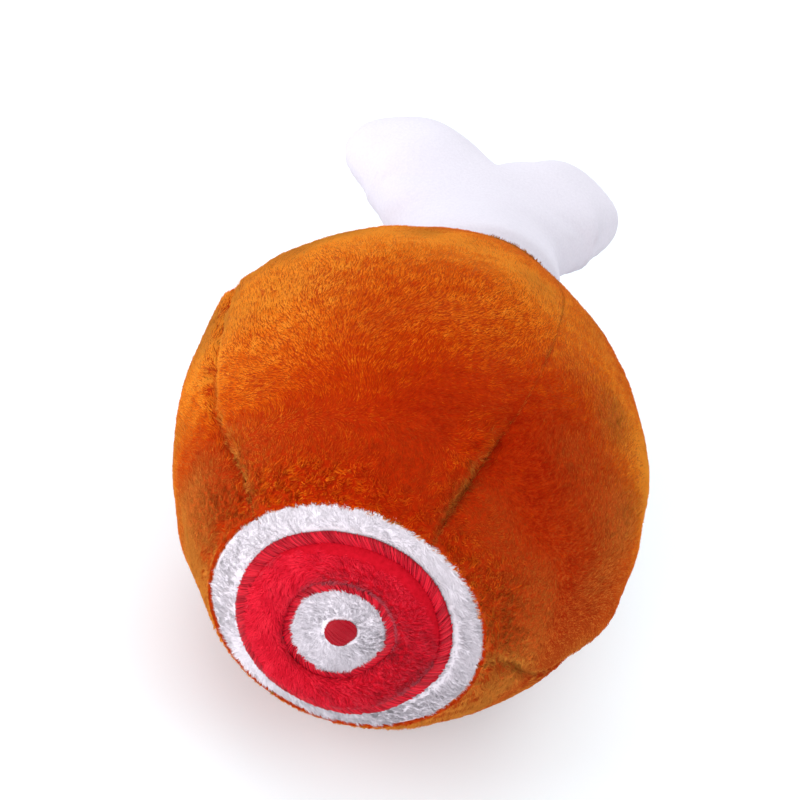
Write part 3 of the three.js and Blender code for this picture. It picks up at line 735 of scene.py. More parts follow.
BROWN_SHEEN = {"sheen": 1.0, "sheen_tint": (1, 0.38, 0.06), "sheen_roughness": 0.5, "specular": 0.0}
BROWN = tone_set("brown_pile", [
    (0.31, 0.003, 0.0002),
    (0.38, 0.008, 0.0003),
    (0.46, 0.016, 0.0005),
    (0.56, 0.037, 0.0010),
    (0.69, 0.080, 0.0025),
    (0.82, 0.150, 0.0070),
    (0.93, 0.240, 0.0180),
], 0.8, glow=0.3, glow_reach=(1, 0.3, 0.1), **BROWN_SHEEN)
WHITE = tone_set("white_pile", [
    (0.57, 0.53, 0.59),
    (0.63, 0.585, 0.65),
    (0.70, 0.65, 0.72),
    (0.76, 0.71, 0.78),
    (0.82, 0.765, 0.84),
    (0.88, 0.82, 0.90),
    (0.94, 0.88, 0.955),
], 0.85, specular=0.03)
RED = tone_set("red_pile", [
    (0.52, 0.0045, 0.016),
    (0.62, 0.007, 0.023),
    (0.72, 0.011, 0.032),
    (0.84, 0.022, 0.046),
], 0.75, sheen=0.55, sheen_tint=(1, 0.2, 0.26), sheen_roughness=0.5, specular=0.02)
SATIN = tone_set("satin_thread", [
    (0.34, 0.002, 0.012),
    (0.46, 0.004, 0.017),
    (0.62, 0.009, 0.027),
], 0.35, specular=0.14)
BROWN_BACKING = ((0.28, 0.004, 0.0002), (0.42, 0.016, 0.0005))
brown_cloth = mottled("brown_cloth", *BROWN_BACKING, 900, 0.6, 0.9, **BROWN_SHEEN)
white_cloth = mottled("white_cloth", (0.70, 0.65, 0.72), (0.82, 0.77, 0.84), 900, 0.5, 0.9, specular=0.03)
red_cloth = mottled("red_cloth", (0.40, 0.003, 0.010), (0.54, 0.006, 0.018), 900, 0.6, 0.85, specular=0.03)
bone_cloth = mottled("bone_cloth", (0.74, 0.72, 0.81), (0.80, 0.78, 0.87), 1400, 0.2, 0.8, specular=0.04)
satin_core = plain("satin_core", (0.26, 0.002, 0.008), 0.7)
thread = mottled("brown_thread", (0.42, 0.06, 0.006), (0.55, 0.09, 0.010), 900, 0.4, 0.55)
wadding = mottled("filling", (0.72, 0.72, 0.70), (0.90, 0.90, 0.88), 260, 0.9, 0.95, sheen=0.3)


# Body pieces


def nap(points, normals, across, along, seed, tilt, spread, curl, turn_field, base=(0.25, -1.0)):
    """Directions that strands grow in: they lean along a slowly turning direction on the cloth"""
    rng = np.random.default_rng(seed)
    turn = field(points, turn_field, NAP_WAVE, seed + 1) + field(points, *NAP_EDDIES, seed + 2)
    turn = turn + curl + spread * rng.normal(0, 1, len(points))
    flat = across * base[0] + along * base[1]
    flat = normalised(flat - normals * np.einsum("ij,ij->i", flat, normals)[:, None])
    other = np.cross(normals, flat)
    lying = flat * np.cos(turn)[:, None] + other * np.sin(turn)[:, None]
    return normalised(normals * np.cos(tilt)[:, None] + lying * np.sin(tilt)[:, None])


def tones_of(shade, tones):
    return np.clip(np.round(shade), 0, len(tones) - 1).astype(int)


def panel_pile(panel, grid):
    rng = np.random.default_rng(20 + panel)
    points, normals, across, along = scatter(grid, PILE_DENSITY, rng)
    count = len(points)
    y = points[:, 1]
    angle = angle_of(points)
    radius = profile_radius(y)
    ruffled = 1 - smoothstep(y, *FACE_RUFFLE)
    if panel in DART_REACH:
        gap = np.abs(angle - seam_angle(DART_SEAM, y)) * radius
        beside = bell(gap / DART_REACH[panel]) * (1 - smoothstep(y, *DART_RUFFLE))
        ruffled = np.maximum(ruffled, beside)
    crease = np.zeros(count)
    for index in (panel, panel + 1):
        gap = np.abs(turn_from(angle, seam_angle(index, y))) * radius
        strength = seam_strength(index, y)
        ruffled = np.maximum(ruffled, RUFFLE_SHARE * strength * bell(gap / RUFFLE_REACH))
        crease = np.maximum(crease, strength * bell(gap / CREASE_REACH))
    ruffled = np.clip(ruffled + field(points, *RUFFLE_FIELD) * (ruffled > RUFFLE_LEAST), 0, 1)
    degrees = fields(points, PILE_TILT, TILT_FIELDS) - RUFFLED_TILT * ruffled
    tilt = np.clip(np.radians(degrees + rng.normal(0, TILT_SPREAD, count)), *TILT_LIMITS)
    backwards = smoothstep(y, *BACKWARDS_FROM) - smoothstep(y, *BACKWARDS_TO)
    curl = field(points, RUFFLE_CURL * ruffled, *CURL_FIELD) + math.pi * backwards
    spread = NAP_SPREAD + RUFFLED_SPREAD * ruffled
    lie = nap(points, normals, across, along, 40, tilt, spread, curl, PANEL_TURN)
    length = lerp(PILE_LENGTH, RUFFLED_LENGTH, ruffled) * rng.uniform(*LENGTH_SHARES, count)
    top = bell((angle - TOP_ANGLE) / TOP_REACH)
    length = length * (1 - SHORTER_SHARE * smoothstep(-y, *SHORTER_FROM) * (1 - top))
    width = PILE_WIDTH * (1 + RUFFLED_WIDTH * ruffled) * rng.uniform(*WIDTH_SHARES, count)
    shade = fields(points, PILE_SHADE, SHADE_FIELDS) + rng.normal(0, SHADE_SPREAD, count)
    # Painted light and shade by place on the body, and painted shade in the creases along the open seams
    shade = shade + with_places(0, PAINTED_LIGHT_AND_SHADE, angle, y, BODY_RADIUS) - PAINTED_SEAM_SHADE * crease
    shade = shade + RUFFLED_SHADE * ruffled * (1 + field(points, *RUFFLED_FIELD))
    radial = normalised(points * [1, 0, 1])
    normals = normalised(lerp(normals, radial, CREASE_LIFT * crease[:, None]))
    pile(f"{PANELS[panel]}_pile", points, normals, lie, length, width, BROWN, tones_of(shade, BROWN),
         "brown_plush", TUFT, lerp(*PILE_CLUMPS, ruffled), rng, REST_LEVEL + FLOOR_CLEARANCE)


for panel, node in enumerate(PANELS):
    outer = panel_grid(panel, PILE_DEPTH)
    inner = panel_grid(panel, PILE_DEPTH + CLOTH)
    skin = shell(f"{node}_skin", outer, inner, brown_cloth)
    worn(skin, "ham", "brown_plush", node)
    panel_pile(panel, outer[1:-1])


# Cut face


def dome(radius):
    return -FRONT_LENGTH - FACE_DOME * (1 - (radius / FACE_RADIUS) ** 2)


def face_lumps(x, z):
    return fields(np.stack([x, np.zeros_like(x), z], -1), 0, FACE_LUMPS)


def hand_sewn(x, z):
    """The rings aren't quite round or centred: they stand a little taller than wide"""
    radius = np.hypot(x, z)
    angle = np.arctan2(z, x)
    fade = np.clip(1 - (radius / EVEN_RADIUS) ** 2, 0, 1)
    bends = RING_OVAL * np.cos(2 * (angle - RING_OVAL_ANGLE)) + RING_BENDS[0] * np.cos(3 * angle - 2)
    bends = bends + RING_BENDS[1] * np.cos(5 * angle)
    stretch = 1 + fade * bends
    return x * stretch + RING_SHIFT[0] * fade, z * stretch + RING_SHIFT[1] * fade


def on_face(radius, angle, lift):
    """A place on the cut face, at a height over its cloth"""
    flat_x = radius * np.cos(angle)
    flat_z = radius * np.sin(angle)
    x, z = hand_sewn(flat_x, flat_z)
    edge = np.clip(1 - (radius / FACE_RADIUS) ** 4, 0, 1)
    y = dome(radius) - SEAM_GAP - lift - face_lumps(flat_x, flat_z) * edge
    return np.stack([x, y, z], -1)


def patch_grid(inner_radius, outer_radius, height, rows, inset=0.0, power=6.0, edge=PATCH_EDGE):
    """Grid over a round piece on the cut face: from its middle or inner edge to its outer edge, as rings"""
    middle = (inner_radius + outer_radius) / 2 if inner_radius > 0 else 0
    reach = outer_radius - middle
    even = np.linspace(0, 1, rows)
    turn = -np.cos(math.pi * even) if inner_radius > 0 else np.sin(math.pi / 2 * even)
    crown = np.maximum(1 - np.abs(turn) ** power, 0) ** 0.5
    rise = height * (edge + (1 - edge) * crown)
    angle = np.linspace(0, 2 * math.pi, FULL_TURN)
    radius, angles = np.meshgrid(middle + reach * turn, angle, indexing="ij")
    return on_face(radius, angles, rise[:, None] - inset)


def rings(name, outer, inner, material):
    """A closed ring or disc, from two grids whose columns run all the way round"""
    outer = outer[:, :-1]
    inner = inner[:, :-1]
    rows, columns = outer.shape[:2]
    back = rows * columns
    j = np.arange(columns)
    k = (j + 1) % columns
    last = (rows - 1) * columns
    joints = [
        np.stack([last + j, last + k, back + last + k, back + last + j], -1),
        np.stack([k, j, back + j, back + k], -1),
    ]
    return double(name, outer, inner, joints, material, closed=True)[0]


FACE_PILE = 0.6
FACE_TUFT = 12
FACE_TILT_FIELD = (6, 3)
FACE_TILT_SPREAD = 9
FACE_TILTS = (0.1, 1.35)
FACE_CURL_FIELD = (0.35, 4)
FACE_SHADE_FIELD = (0.35, 5)
FACE_SHADE_SPREAD = 0.6
FACE_LENGTH_SHARES = (0.7, 1.2)
# How far strands that lean out of a patch are turned back, at its inner and its outer edge
TURNED_BACK = (2, 1.2)
# The pile of the cut face is painted lighter towards this side and darker away from it: painted light and
# shade, as the light falls from that side
PAINTED_LIT_SIDE = math.radians(165)


def patch(node, top, back, cloth, slot):
    """The cloth of a round piece on the cut face, in the place of its solid"""
    skin = rings(f"{node}_skin", top, back, cloth)
    worn(skin, "ham", slot, node)


def face_pile(name, grid, tones, slot, seed, density, length, width, tilt, spread, base, turn_field,
              lightness, clump, painted_light_side, inner_edge=0.0, outer_edge=math.inf):
    """Pile over a patch of the cut face, with none under the stitched dot"""
    rng = np.random.default_rng(seed)
    points, normals, across, along = scatter(grid, density, rng)
    keep = np.hypot(points[:, 0] - DOT_PLACE[0], points[:, 2] - DOT_PLACE[1]) > DOT_RADIUS
    points, normals, across, along = points[keep], normals[keep], across[keep], along[keep]
    normals = np.where(normals[:, 1:2] > 0, -normals, normals)
    count = len(points)
    degrees = tilt + field(points, *FACE_TILT_FIELD, seed + 7) + rng.normal(0, FACE_TILT_SPREAD, count)
    tilts = np.clip(np.radians(degrees), *FACE_TILTS)
    curl = field(points, *FACE_CURL_FIELD, seed + 8)
    lie = nap(points, normals, across, along, seed, tilts, spread, curl, turn_field, base)
    radius = np.hypot(points[:, 0], points[:, 2])
    radial = np.stack([points[:, 0], 0 * radius, points[:, 2]], -1) / radius[:, None]
    leaning = np.einsum("ij,ij->i", lie, radial)
    for near_edge, turned in zip((radius < inner_edge, radius > outer_edge), TURNED_BACK):
        back = lie - turned * radial * leaning[:, None]
        lie = np.where((near_edge & (leaning > 0))[:, None], back, lie)
    lie = normalised(lie)
    lengths = length * rng.uniform(*FACE_LENGTH_SHARES, count)
    widths = width * rng.uniform(*WIDTH_SHARES, count)
    middle = lightness + len(tones) / 2 - 0.5
    shade = middle + field(points, *FACE_SHADE_FIELD, seed + 5) + rng.normal(0, FACE_SHADE_SPREAD, count)
    # Painted light and shade: the tone is lighter towards the lit side of the cut face and darker away from
    # it
    shade = shade + painted_light_side * np.cos(angle_of(points) - PAINTED_LIT_SIDE) * radius / FACE_RADIUS
    pile(name, points, normals, lie, lengths, widths, tones, tones_of(shade, tones), slot, FACE_TUFT,
         np.full(count, clump), rng)


# The cut face turns in behind its rim: shares of its radius, and depths
FLANGE = ((1, 1.6), (0.995, 4.6))
FACE_BACK_SHARE = 0.965
PATCH_SINK = 0.05
PATCH_MARGIN = 0.5
DISC_ROWS = 60
disc_top = patch_grid(0, FACE_RADIUS, 0, DISC_ROWS, inset=FACE_PILE)
rim = disc_top[-1:]
flange = [rim * [share, 0, share] + [0, -FRONT_LENGTH + depth, 0] for share, depth in FLANGE]
disc_top = np.concatenate([disc_top, *flange])
disc_back = disc_top * [FACE_BACK_SHARE, 1, FACE_BACK_SHARE] + [0, CLOTH, 0]
patch("face_disc", disc_top, disc_back, white_cloth, "white_plush")
border_end = MEAT_OUTER + SEAM_GAP + BORDER_WIDTH
white_ring = patch_grid(border_end - 0.9, FACE_RADIUS - 0.6, 0, 16, inset=FACE_PILE)
face_pile(
    "face_disc_pile", white_ring, WHITE, "white_plush", seed=70, density=15, length=1.4, width=0.24, tilt=66,
    spread=0.4, base=(0.3, 1), turn_field=0.8, lightness=0.4, clump=0.35, painted_light_side=3.3,
    inner_edge=border_end + 0.5,
)

MEAT_RISE = 3.4
MEAT_ROWS = 30
meat_span = (MEAT_INNER - PATCH_MARGIN, MEAT_OUTER + PATCH_MARGIN)
meat_top = patch_grid(*meat_span, MEAT_RISE, MEAT_ROWS, FACE_PILE, power=2.4)
meat_back = patch_grid(MEAT_INNER, MEAT_OUTER, 0, MEAT_ROWS, -PATCH_SINK)
patch("meat_ring", meat_top, meat_back, red_cloth, "red_plush")
face_pile(
    "meat_ring_pile", meat_top, RED, "red_plush", seed=80, density=15, length=1.35, width=0.2, tilt=60,
    spread=0.35, base=(0.5, 1), turn_field=0.9, lightness=0.2, clump=0.45, painted_light_side=0.5,
    inner_edge=MEAT_INNER + 0.6, outer_edge=MEAT_OUTER - 0.8,
)

MARROW_RISE = 2.3
MARROW_ROWS = 26
marrow_top = patch_grid(0, MARROW_RADIUS + 0.6, MARROW_RISE, MARROW_ROWS, FACE_PILE, power=3, edge=0.4)
marrow_back = patch_grid(0, MARROW_RADIUS, 0, MARROW_ROWS, -PATCH_SINK)
patch("marrow_disc", marrow_top, marrow_back, white_cloth, "white_plush")
face_pile(
    "marrow_disc_pile", marrow_top[1:], WHITE, "white_plush", seed=90, density=16, length=1.3, width=0.21,
    tilt=64, spread=0.5, base=(0.2, 1), turn_field=0.6, lightness=-2.2, clump=0.4, painted_light_side=1.2,
)

# Satin stitch, and how unevenly its threads lie
CORE_DROP = 0.15
STITCH_STEPS = 9
STITCH_SLANT = 1.2
STITCH_EDGE = 0.2
REACH_SPREAD = (-0.04, 0.2)
PITCH_SPREAD = 0.2
SLANT_SPREAD = 0.12
MIDDLE_SPREAD = 0.08
LIFT_SPREAD = 0.05
BORDER_THREAD = (0.14, 0.2)
THREAD_SIDES = 6


def satin_border(name, inner_radius, node, rise, stitches, seed):
    """Satin stitch round a disc: threads side by side over a padded core"""
    outer_radius = inner_radius + BORDER_WIDTH
    core_top = patch_grid(inner_radius, outer_radius, rise - CORE_DROP, STITCH_STEPS, power=3)
    core_back = patch_grid(inner_radius, outer_radius, 0, STITCH_STEPS, -PATCH_SINK, power=2)
    core = rings(f"{name}_core", core_top, core_back, satin_core)
    worn(core, "ham", "red_satin", node)
    rng = np.random.default_rng(seed)
    turn = -np.cos(math.pi * np.linspace(0, 1, STITCH_STEPS))
    pitches = np.arange(stitches) + rng.normal(0, PITCH_SPREAD, stitches)
    start = 2 * math.pi * pitches / stitches
    slant = STITCH_SLANT / outer_radius + rng.normal(0, SLANT_SPREAD, stitches) / outer_radius
    angle = start[:, None] + slant[:, None] * turn
    reach = BORDER_WIDTH / 2 * (1 + rng.uniform(*REACH_SPREAD, stitches))
    middle = (inner_radius + outer_radius) / 2 + rng.normal(0, MIDDLE_SPREAD, stitches)
    radius = middle[:, None] + reach[:, None] * turn
    crown = np.sqrt(np.maximum(1 - np.abs(turn) ** 3, 0))
    lift = rise * lerp(STITCH_EDGE, 1, crown)[None] + rng.normal(0, LIFT_SPREAD, stitches)[:, None]
    paths = on_face(radius, angle, lift)
    ups = np.stack([np.cos(angle) * turn * 0.7, -0.3 - crown + 0 * angle, np.sin(angle) * turn * 0.7], -1)
    tone = rng.integers(0, len(SATIN), stitches)
    thickness = rng.uniform(*BORDER_THREAD, stitches)
    worn(tubes(name, paths, normalised(ups), thickness, THREAD_SIDES, SATIN, tone), "ham", "red_satin")


satin_border("meat_border_stitches", MEAT_OUTER + SEAM_GAP, "meat_border", 0.8, 520, 100)
satin_border("marrow_border_stitches", MARROW_RADIUS + SEAM_GAP, "marrow_border", 0.7, 270, 101)


DOT_PITCH = 0.28
DOT_MARGIN = 0.1
DOT_STEPS = 15
DOT_TILT = math.radians(-24)
DOT_CROWN = 0.5
DOT_THREAD = (0.16, 0.2)


def marrow_dot():
    """Long satin stitches side by side over the middle of the marrow"""
    rng = np.random.default_rng(110)
    reach = DOT_RADIUS - DOT_MARGIN
    offsets = np.arange(-reach + DOT_PITCH / 2, reach, DOT_PITCH)
    count = len(offsets)
    half = np.sqrt(np.maximum(reach**2 - offsets**2, 0.4)) + rng.uniform(-0.1, 0.25, count)
    along = half[:, None] * np.linspace(-1, 1, DOT_STEPS)
    across = offsets[:, None] + rng.normal(0, 0.04, count)[:, None] + 0.02 * along
    x = along * math.cos(DOT_TILT) - across * math.sin(DOT_TILT)
    z = along * math.sin(DOT_TILT) + across * math.cos(DOT_TILT)
    radius = np.hypot(x, z)
    crown = np.sqrt(np.maximum(1 - (radius / (DOT_RADIUS + 0.35)) ** 2, 0))
    lift = MARROW_RISE - DOT_CROWN + DOT_CROWN * crown
    place = [DOT_PLACE[0] - RING_SHIFT[0], 0, DOT_PLACE[1] - RING_SHIFT[1]]
    paths = on_face(radius, np.arctan2(z, x), lift) + place
    ups = np.zeros(paths.shape) + [0, -1, 0]
    tone = np.zeros(count, int)
    thickness = rng.uniform(*DOT_THREAD, count)
    piece = tubes("marrow_dot_stitches", paths, ups, thickness, THREAD_SIDES, SATIN, tone)
    worn(piece, "ham", "red_satin", "marrow_dot")


marrow_dot()


# Bone, in its own frame: the pivot at zero, +Y up the shaft, leaning to one side


def bone_radius(y):
    from_pivot = np.minimum(y, HEM_START)
    ball = np.sqrt(ROOT_RADIUS**2 - from_pivot**2)
    rise = smoothstep(y, HEM_START, HEM_START + HEM_RUN)
    flare = smoothstep(y, HEM_START + HEM_RUN, SHAFT_LENGTH)
    return ball + (SHAFT_RADIUS - ball) * rise + (SHAFT_TOP_RADIUS - SHAFT_RADIUS) * flare


def arc(centre, radius, start, end, count):
    turn = np.linspace(start, end, count)
    return np.array(centre) + radius * np.stack([np.cos(turn), np.sin(turn)], -1)


def bone_outline(count):
    """Right side of the bone from its root round the lobe to the notch, evenly spaced"""
    root = np.linspace(-ROOT_DEPTH, SHAFT_LENGTH, 200)
    shaft = np.stack([bone_radius(root), root], -1)
    bend_reach = SHAFT_TOP_RADIUS - LOBE_SPREAD
    bend_drop = LOBE_LENGTH - SHAFT_LENGTH
    bend = (bend_drop**2 + bend_reach**2 - LOBE_RADIUS**2) / (2 * (LOBE_RADIUS - bend_reach))
    centre = (SHAFT_TOP_RADIUS + bend, SHAFT_LENGTH)
    to_lobe = math.atan2(LOBE_LENGTH - SHAFT_LENGTH, LOBE_SPREAD - centre[0])
    notch_rise = math.sqrt((LOBE_RADIUS + NOTCH_RADIUS) ** 2 - LOBE_SPREAD**2)
    to_notch = math.atan2(notch_rise, -LOBE_SPREAD)
    parts = [
        shaft,
        arc(centre, bend, math.pi, to_lobe, 60)[1:],
        arc((LOBE_SPREAD, LOBE_LENGTH), LOBE_RADIUS, to_lobe - math.pi, to_notch, 300)[1:],
        arc((0, LOBE_LENGTH + notch_rise), NOTCH_RADIUS, to_notch + math.pi, 1.5 * math.pi, 30)[1:],
    ]
    line = np.concatenate(parts)
    walked = np.concatenate([[0], np.cumsum(np.linalg.norm(np.diff(line, axis=0), axis=1))])
    even = np.linspace(0, walked[-1], count)
    return np.stack([np.interp(even, walked, line[:, n]) for n in (0, 1)], -1), even


side = bone_outline(BONE_ROWS)[0]
side[-1, 0] = LEAST_WIDTH
fine, fine_walk = bone_outline(OUTLINE_POINTS)


def to_outline(x, y):
    """Distance to the seam, and the place along it"""
    flat = np.stack([np.abs(x).ravel(), y.ravel()], -1)
    gap = np.linalg.norm(flat[:, None] - fine[None], axis=-1)
    nearest = gap.argmin(1)
    return gap.min(1).reshape(x.shape), fine_walk[nearest].reshape(x.shape)


def bone_height(way, x, y, gap, away, inset):
    """How far the cloth stands up or down from the bone's middle plane"""
    flat = smoothstep(y, *FLATTENING)
    round_radius = lerp(bone_radius(np.minimum(y, SHAFT_LENGTH)), LOBE_RADIUS, flat) - inset
    under = np.clip(gap - inset, 0, round_radius)
    pinch = lerp(NECK_EDGE_POWER, BONE_EDGE_POWER, smoothstep(y, *PINCHING))
    crown = (1 - (1 - under / round_radius) ** 2) ** lerp(0.5, pinch, flat)
    share = BONE_FLAT_SHARE if way > 0 else BONE_UNDER_SHARE
    height = lerp(1, share, flat) * round_radius * crown
    for _ in range(BONE_SMOOTHING):
        around = np.pad(height, 1, mode="edge")
        mean = (around[:-2, 1:-1] + around[2:, 1:-1] + around[1:-1, :-2] + around[1:-1, 2:]) / 4
        height = height + (mean - height) * (smoothstep(gap, *SMOOTHED_FROM) * away)
    return height


def bone_grid(way, inset):
    """Grid over the upper (way 1) or lower (way -1) cloth of the bone"""
    ahead = normalised(np.gradient(side, axis=0))
    inward = np.stack([-ahead[:, 1], ahead[:, 0]], -1)
    edge_line = side + inward * inset
    straight = int(np.argmax(side[:, 1] > SHAFT_LENGTH)) - 1
    share = np.clip((np.arange(BONE_ROWS) - straight) / (BONE_ROWS - 1 - straight), 0, 1)
    notch = side[-1, 1] - max(inset, SPINE_CLEARANCE)
    base = np.where(share > 0, side[straight, 1], side[:, 1])
    spine = lerp(base, notch, share)
    turn = np.sin(math.pi * (np.linspace(0, 1, BONE_COLUMNS) - 0.5))
    x = edge_line[:, :1] * turn
    y = spine[:, None] + (edge_line[:, 1:] - spine[:, None]) * np.abs(turn)
    gap, walk = to_outline(x, y)
    away = smoothstep(y, HEM_START + 1, HEM_START + 14)
    height = bone_height(way, x, y, gap, away, inset)
    place = np.stack([x, y, np.full_like(x, FIELDS_APART * way)], -1)
    lumps = fields(place, 0, BONE_LUMPS)
    drift = field(place, *BONE_DRIFT, 122 + way)
    gathers = np.cos(2 * math.pi * walk / BONE_PITCH + drift) * np.exp(-gap / BONE_REACH)
    more = smoothstep(x, *MORE_GATHERS_FROM) * (1 - smoothstep(y, *MORE_GATHERS_TO))
    gathers = BONE_CREASE * (gathers * (1 + MORE_GATHERS * more)) * smoothstep(gap, *GATHERED_FROM)
    height = height + (lumps * smoothstep(gap, *LUMPS_FROM) + gathers) * away
    least = BONE_SEAM + (inset if inset > 1 else 0)
    if way < 0:
        lower = smoothstep(-x, *LOWER_FROM) * (1 - smoothstep(y, *LOWER_TO)) * away
        height = height * (1 - LOWER_SHARE * lower)
    height = np.maximum(height, least)
    height[:, [0, -1]] = least if inset > 1 or way < 0 else -BONE_OVERLAP
    tuck = 1 - BONE_TUCK * (1 - smoothstep(y, *TUCKED_TO))
    return np.stack([*uneven(x * tuck, y), way * height * tuck], -1)


def uneven(x, y):
    """Hand-filled bones aren't even: this one is fuller beside its neck and slacker by the notch"""

    def of_side(left_and_right):
        return np.where(x < 0, *left_and_right)

    out = np.abs(x)
    reach = smoothstep(out, *WEB_FROM) * (1 - smoothstep(out, *WEB_TO))
    web = of_side(WEB_SWELL) * reach * bell((y - of_side(WEB_PLACE)) / of_side(WEB_REACH))
    lobe = of_side(LOBE_SWELL) * smoothstep(out, *LOBE_SWELL_FROM) * smoothstep(y, *LOBE_SWELL_UP)
    slack = of_side(NOTCH_SLACK) * bell((out - SLACK_PLACE) / SLACK_REACH) * smoothstep(y, *SLACK_FROM)
    return x + np.sign(x) * (web + lobe), y - slack


def bone_to_row(grid):
    lean = math.radians(BONE_LEAN)
    x = grid[..., 0] * math.cos(lean) - grid[..., 1] * math.sin(lean)
    y = grid[..., 0] * math.sin(lean) + grid[..., 1] * math.cos(lean)
    return np.stack([x, y, grid[..., 2]], -1)


for way, node in ((1, "bone_panel_upper"), (-1, "bone_panel_lower")):
    outer = bone_to_row(bone_grid(way, BONE_NAP if way > 0 else BONE_NAP + BONE_UNDER_INSET))
    inner = bone_to_row(bone_grid(way, BONE_NAP + BONE_LINING))
    skin = shell(f"{node}_skin", outer, inner, bone_cloth, PIVOT)
    worn(skin, "bone", "bone_cloth", node)


# Closing thread


CLOSING_LENGTH = 33
CLOSING_END = 14
CLOSING_WAVES = 6
CLOSING_STEPS = 240
CLOSING_SWING = 1.9
THREAD_RADIUS = 0.3
THREAD_SINK = 0.2
LEAST_SWING = 0.004


def closing_thread():
    """Zigzag by hand over the seam at the left, where the toy was closed after stuffing"""
    along = np.linspace(0, 1, CLOSING_STEPS)
    y = REAR_LENGTH - CLOSING_END - CLOSING_LENGTH + CLOSING_LENGTH * along
    radius = profile_radius(y)
    swing = CLOSING_SWING * np.sin(2 * math.pi * CLOSING_WAVES * along) / radius
    angle = seam_angle(2, y) + swing
    span = seam_angle(3, y) - seam_angle(2, y)
    base = body_skin(2, y, np.clip(swing, LEAST_SWING, None) / span, 0)
    reach = np.hypot(base[:, 0], base[:, 2]) - THREAD_SINK
    path = np.stack([reach * np.cos(angle), y, reach * np.sin(angle)], -1)
    ups = normalised(path * [1, 0, 1])
    piece = tubes("closing_thread_sewn", path[None], ups[None], THREAD_RADIUS, 8, [thread])
    worn(piece, "ham", "brown_thread", "closing_thread")


closing_thread()


# Filling and squeaker, inside


FIBRE_VOXEL = 0.0016
FIBRE_LUMP = 0.00018
FIBRE_WAVE = 9


def fibre_filling(node, body, slack=0.2):
    """The filling as a lumpy mass, smaller than its solid by the slack in millimetres and more"""
    mesh = frame["nodes"][node].data.copy()
    mesh.name = f"{node}_fibre"
    piece = add_object(f"{node}_fibre", mesh)
    remesh = piece.modifiers.new("remesh", "REMESH")
    remesh.mode = "VOXEL"
    remesh.voxel_size = FIBRE_VOXEL
    made = bpy.data.meshes.new_from_object(piece.evaluated_get(bpy.context.evaluated_depsgraph_get()))
    piece.modifiers.clear()
    piece.data = made
    count = len(made.vertices)
    points = np.empty(count * 3, np.float32)
    normals = np.empty(count * 3, np.float32)
    made.vertices.foreach_get("co", points)
    made.vertex_normals.foreach_get("vector", normals)
    points = points.reshape(-1, 3)
    lumps = slack * MM + FIBRE_LUMP * (1 + np.tanh(ripple(points / MM, FIBRE_WAVE, 130)))
    points = points - normals.reshape(-1, 3) * lumps[:, None]
    made.vertices.foreach_set("co", points.astype(np.float32).ravel())
    made.materials.clear()
    made.materials.append(wadding)
    made.shade_smooth()
    made.update()
    worn(piece, body, "filling", node)


for node, body in (("stuffing_front", "ham"), ("stuffing_rear", "ham"), ("neck_wadding", "neck")):
    fibre_filling(node, body)
fibre_filling("bone_stuffing", "bone", slack=1.0)

PLASTIC = ((0.80, 0.80, 0.76), (0.88, 0.88, 0.84))
FILM = ((0.74, 0.74, 0.70), (0.84, 0.84, 0.80))
squeaker_plastic = mottled("squeaker_plastic", *PLASTIC, 120, 0.1, 0.4, specular=0.5)
reed_film = mottled("reed_film", *FILM, 400, 0.05, 0.25, specular=0.5)
for node in ("squeaker_bladder", "squeaker_plug", "reed_trough", "reed_clip", "reed_tongue"):
    data = frame["nodes"][node].data
    data.materials.clear()
    data.materials.append(reed_film if node == "reed_tongue" else squeaker_plastic)


# Stage, light and camera


FLOOR_HALF = 0.8
# The floor throws this much light back on the toy, and shows as white to the camera
FLOOR_AS_LIT = (0.72, 0.73, 0.76, 1)
FLOOR_AS_SEEN = (1.02, 1.1, 1.14, 1)
WHITE_SKY = (1, 1, 1, 1)
SKY_AS_LIT = 0.62
SKY_AS_SEEN = 1


def stage():
    corners = np.array([[-1, -1, 0], [1, -1, 0], [1, 1, 0], [-1, 1, 0]]) * FLOOR_HALF
    material, principled = shader("floor_white", 1, specular=0)
    nodes = material.node_tree.nodes
    links = material.node_tree.links
    path = nodes.new("ShaderNodeLightPath")
    seen = nodes.new("ShaderNodeMath")
    seen.operation = "MAXIMUM"
    mix = nodes.new("ShaderNodeMix")
    mix.data_type = "RGBA"
    mix.inputs["A"].default_value = FLOOR_AS_LIT
    mix.inputs["B"].default_value = FLOOR_AS_SEEN
    links.new(path.outputs["Is Camera Ray"], seen.inputs[0])
    links.new(path.outputs["Is Glossy Ray"], seen.inputs[1])
    links.new(seen.outputs[0], mix.inputs["Factor"])
    links.new(mix.outputs["Result"], principled.inputs["Base Color"])
    new_mesh("floor", corners, np.array([[0, 1, 2, 3]]), [material])


# Square lights, in metres and watts, that all face the toy
LIGHT_SIZE = 0.8
LIGHT_TARGET = Vector((0, 0, 0.05))
LIGHTS = {
    "left": ((-0.95, -0.6, 0.45), 5.6),
    "back": ((-0.6, 0.5, 0.9), 2.4),
    "rim": ((-0.1, 1.1, 0.5), 4.5),
    "front": ((-0.15, -1.1, 0.45), 7.7),
    "right": ((1.0, -0.1, 0.6), 3.0),
}


def area_light(name, place, power):
    light = bpy.data.lights.new(name, "AREA")
    light.size = LIGHT_SIZE
    light.energy = power
    lamp = add_object(name, light)
    lamp.location = place
    lamp.rotation_euler = (LIGHT_TARGET - Vector(place)).to_track_quat("-Z", "Y").to_euler()


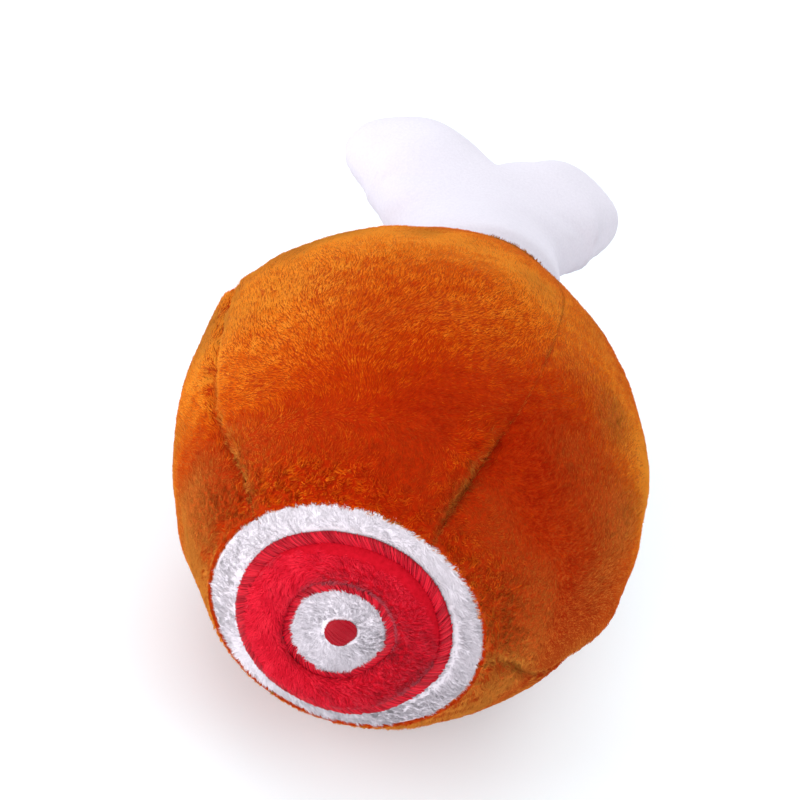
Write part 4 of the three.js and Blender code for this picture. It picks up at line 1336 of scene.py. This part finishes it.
def world():
    surroundings = bpy.data.worlds.new("studio")
    bpy.context.scene.world = surroundings
    surroundings.use_nodes = True
    nodes = surroundings.node_tree.nodes
    links = surroundings.node_tree.links
    background = nodes["Background"]
    background.inputs["Color"].default_value = WHITE_SKY
    path = nodes.new("ShaderNodeLightPath")
    strength = nodes.new("ShaderNodeMapRange")
    strength.inputs["To Min"].default_value = SKY_AS_LIT
    strength.inputs["To Max"].default_value = SKY_AS_SEEN
    links.new(path.outputs["Is Camera Ray"], strength.inputs["Value"])
    links.new(strength.outputs["Result"], background.inputs["Strength"])


# The picture is square, and the place AIM_Y on the body's axis lies at this pixel in it
PICTURE = 800
FOCAL_PIXELS = 2152
AIM_PIXEL = (395, 503)
AIM_Y = -16
DISTANCE = 517
ELEVATION = 39.6
ROLL_ANGLE = 23.3
SENSOR = 36
CLIP = (0.01, 20)


def camera():
    data = bpy.data.cameras.new("camera")
    data.sensor_width = SENSOR
    data.lens = SENSOR * FOCAL_PIXELS / PICTURE
    shot = add_object("camera", data)
    bpy.context.scene.camera = shot
    rise = math.radians(ELEVATION)
    roll = math.radians(ROLL_ANGLE)
    ahead = Vector((0, math.cos(rise), -math.sin(rise)))
    level = Vector((1, 0, 0))
    upright = Vector((0, math.sin(rise), math.cos(rise)))
    right = level * math.cos(roll) + upright * math.sin(roll)
    up = upright * math.cos(roll) - level * math.sin(roll)
    aim = Vector(to_row([0, AIM_Y, 0]))
    place = aim - ahead * DISTANCE * MM
    offset_x = (AIM_PIXEL[0] - PICTURE / 2) / FOCAL_PIXELS
    offset_y = (AIM_PIXEL[1] - PICTURE / 2) / FOCAL_PIXELS
    look = (ahead - right * offset_x + up * offset_y).normalized()
    right = (right - look * right.dot(look)).normalized()
    up = right.cross(look)
    turn = Matrix((right, up, -look)).transposed().to_4x4()
    shot.matrix_world = Matrix.Translation(place) @ turn
    data.clip_start, data.clip_end = CLIP


stage()
world()
for name, (place, power) in LIGHTS.items():
    area_light(name, place, power)
camera()
bpy.context.scene.view_settings.view_transform = "Standard"
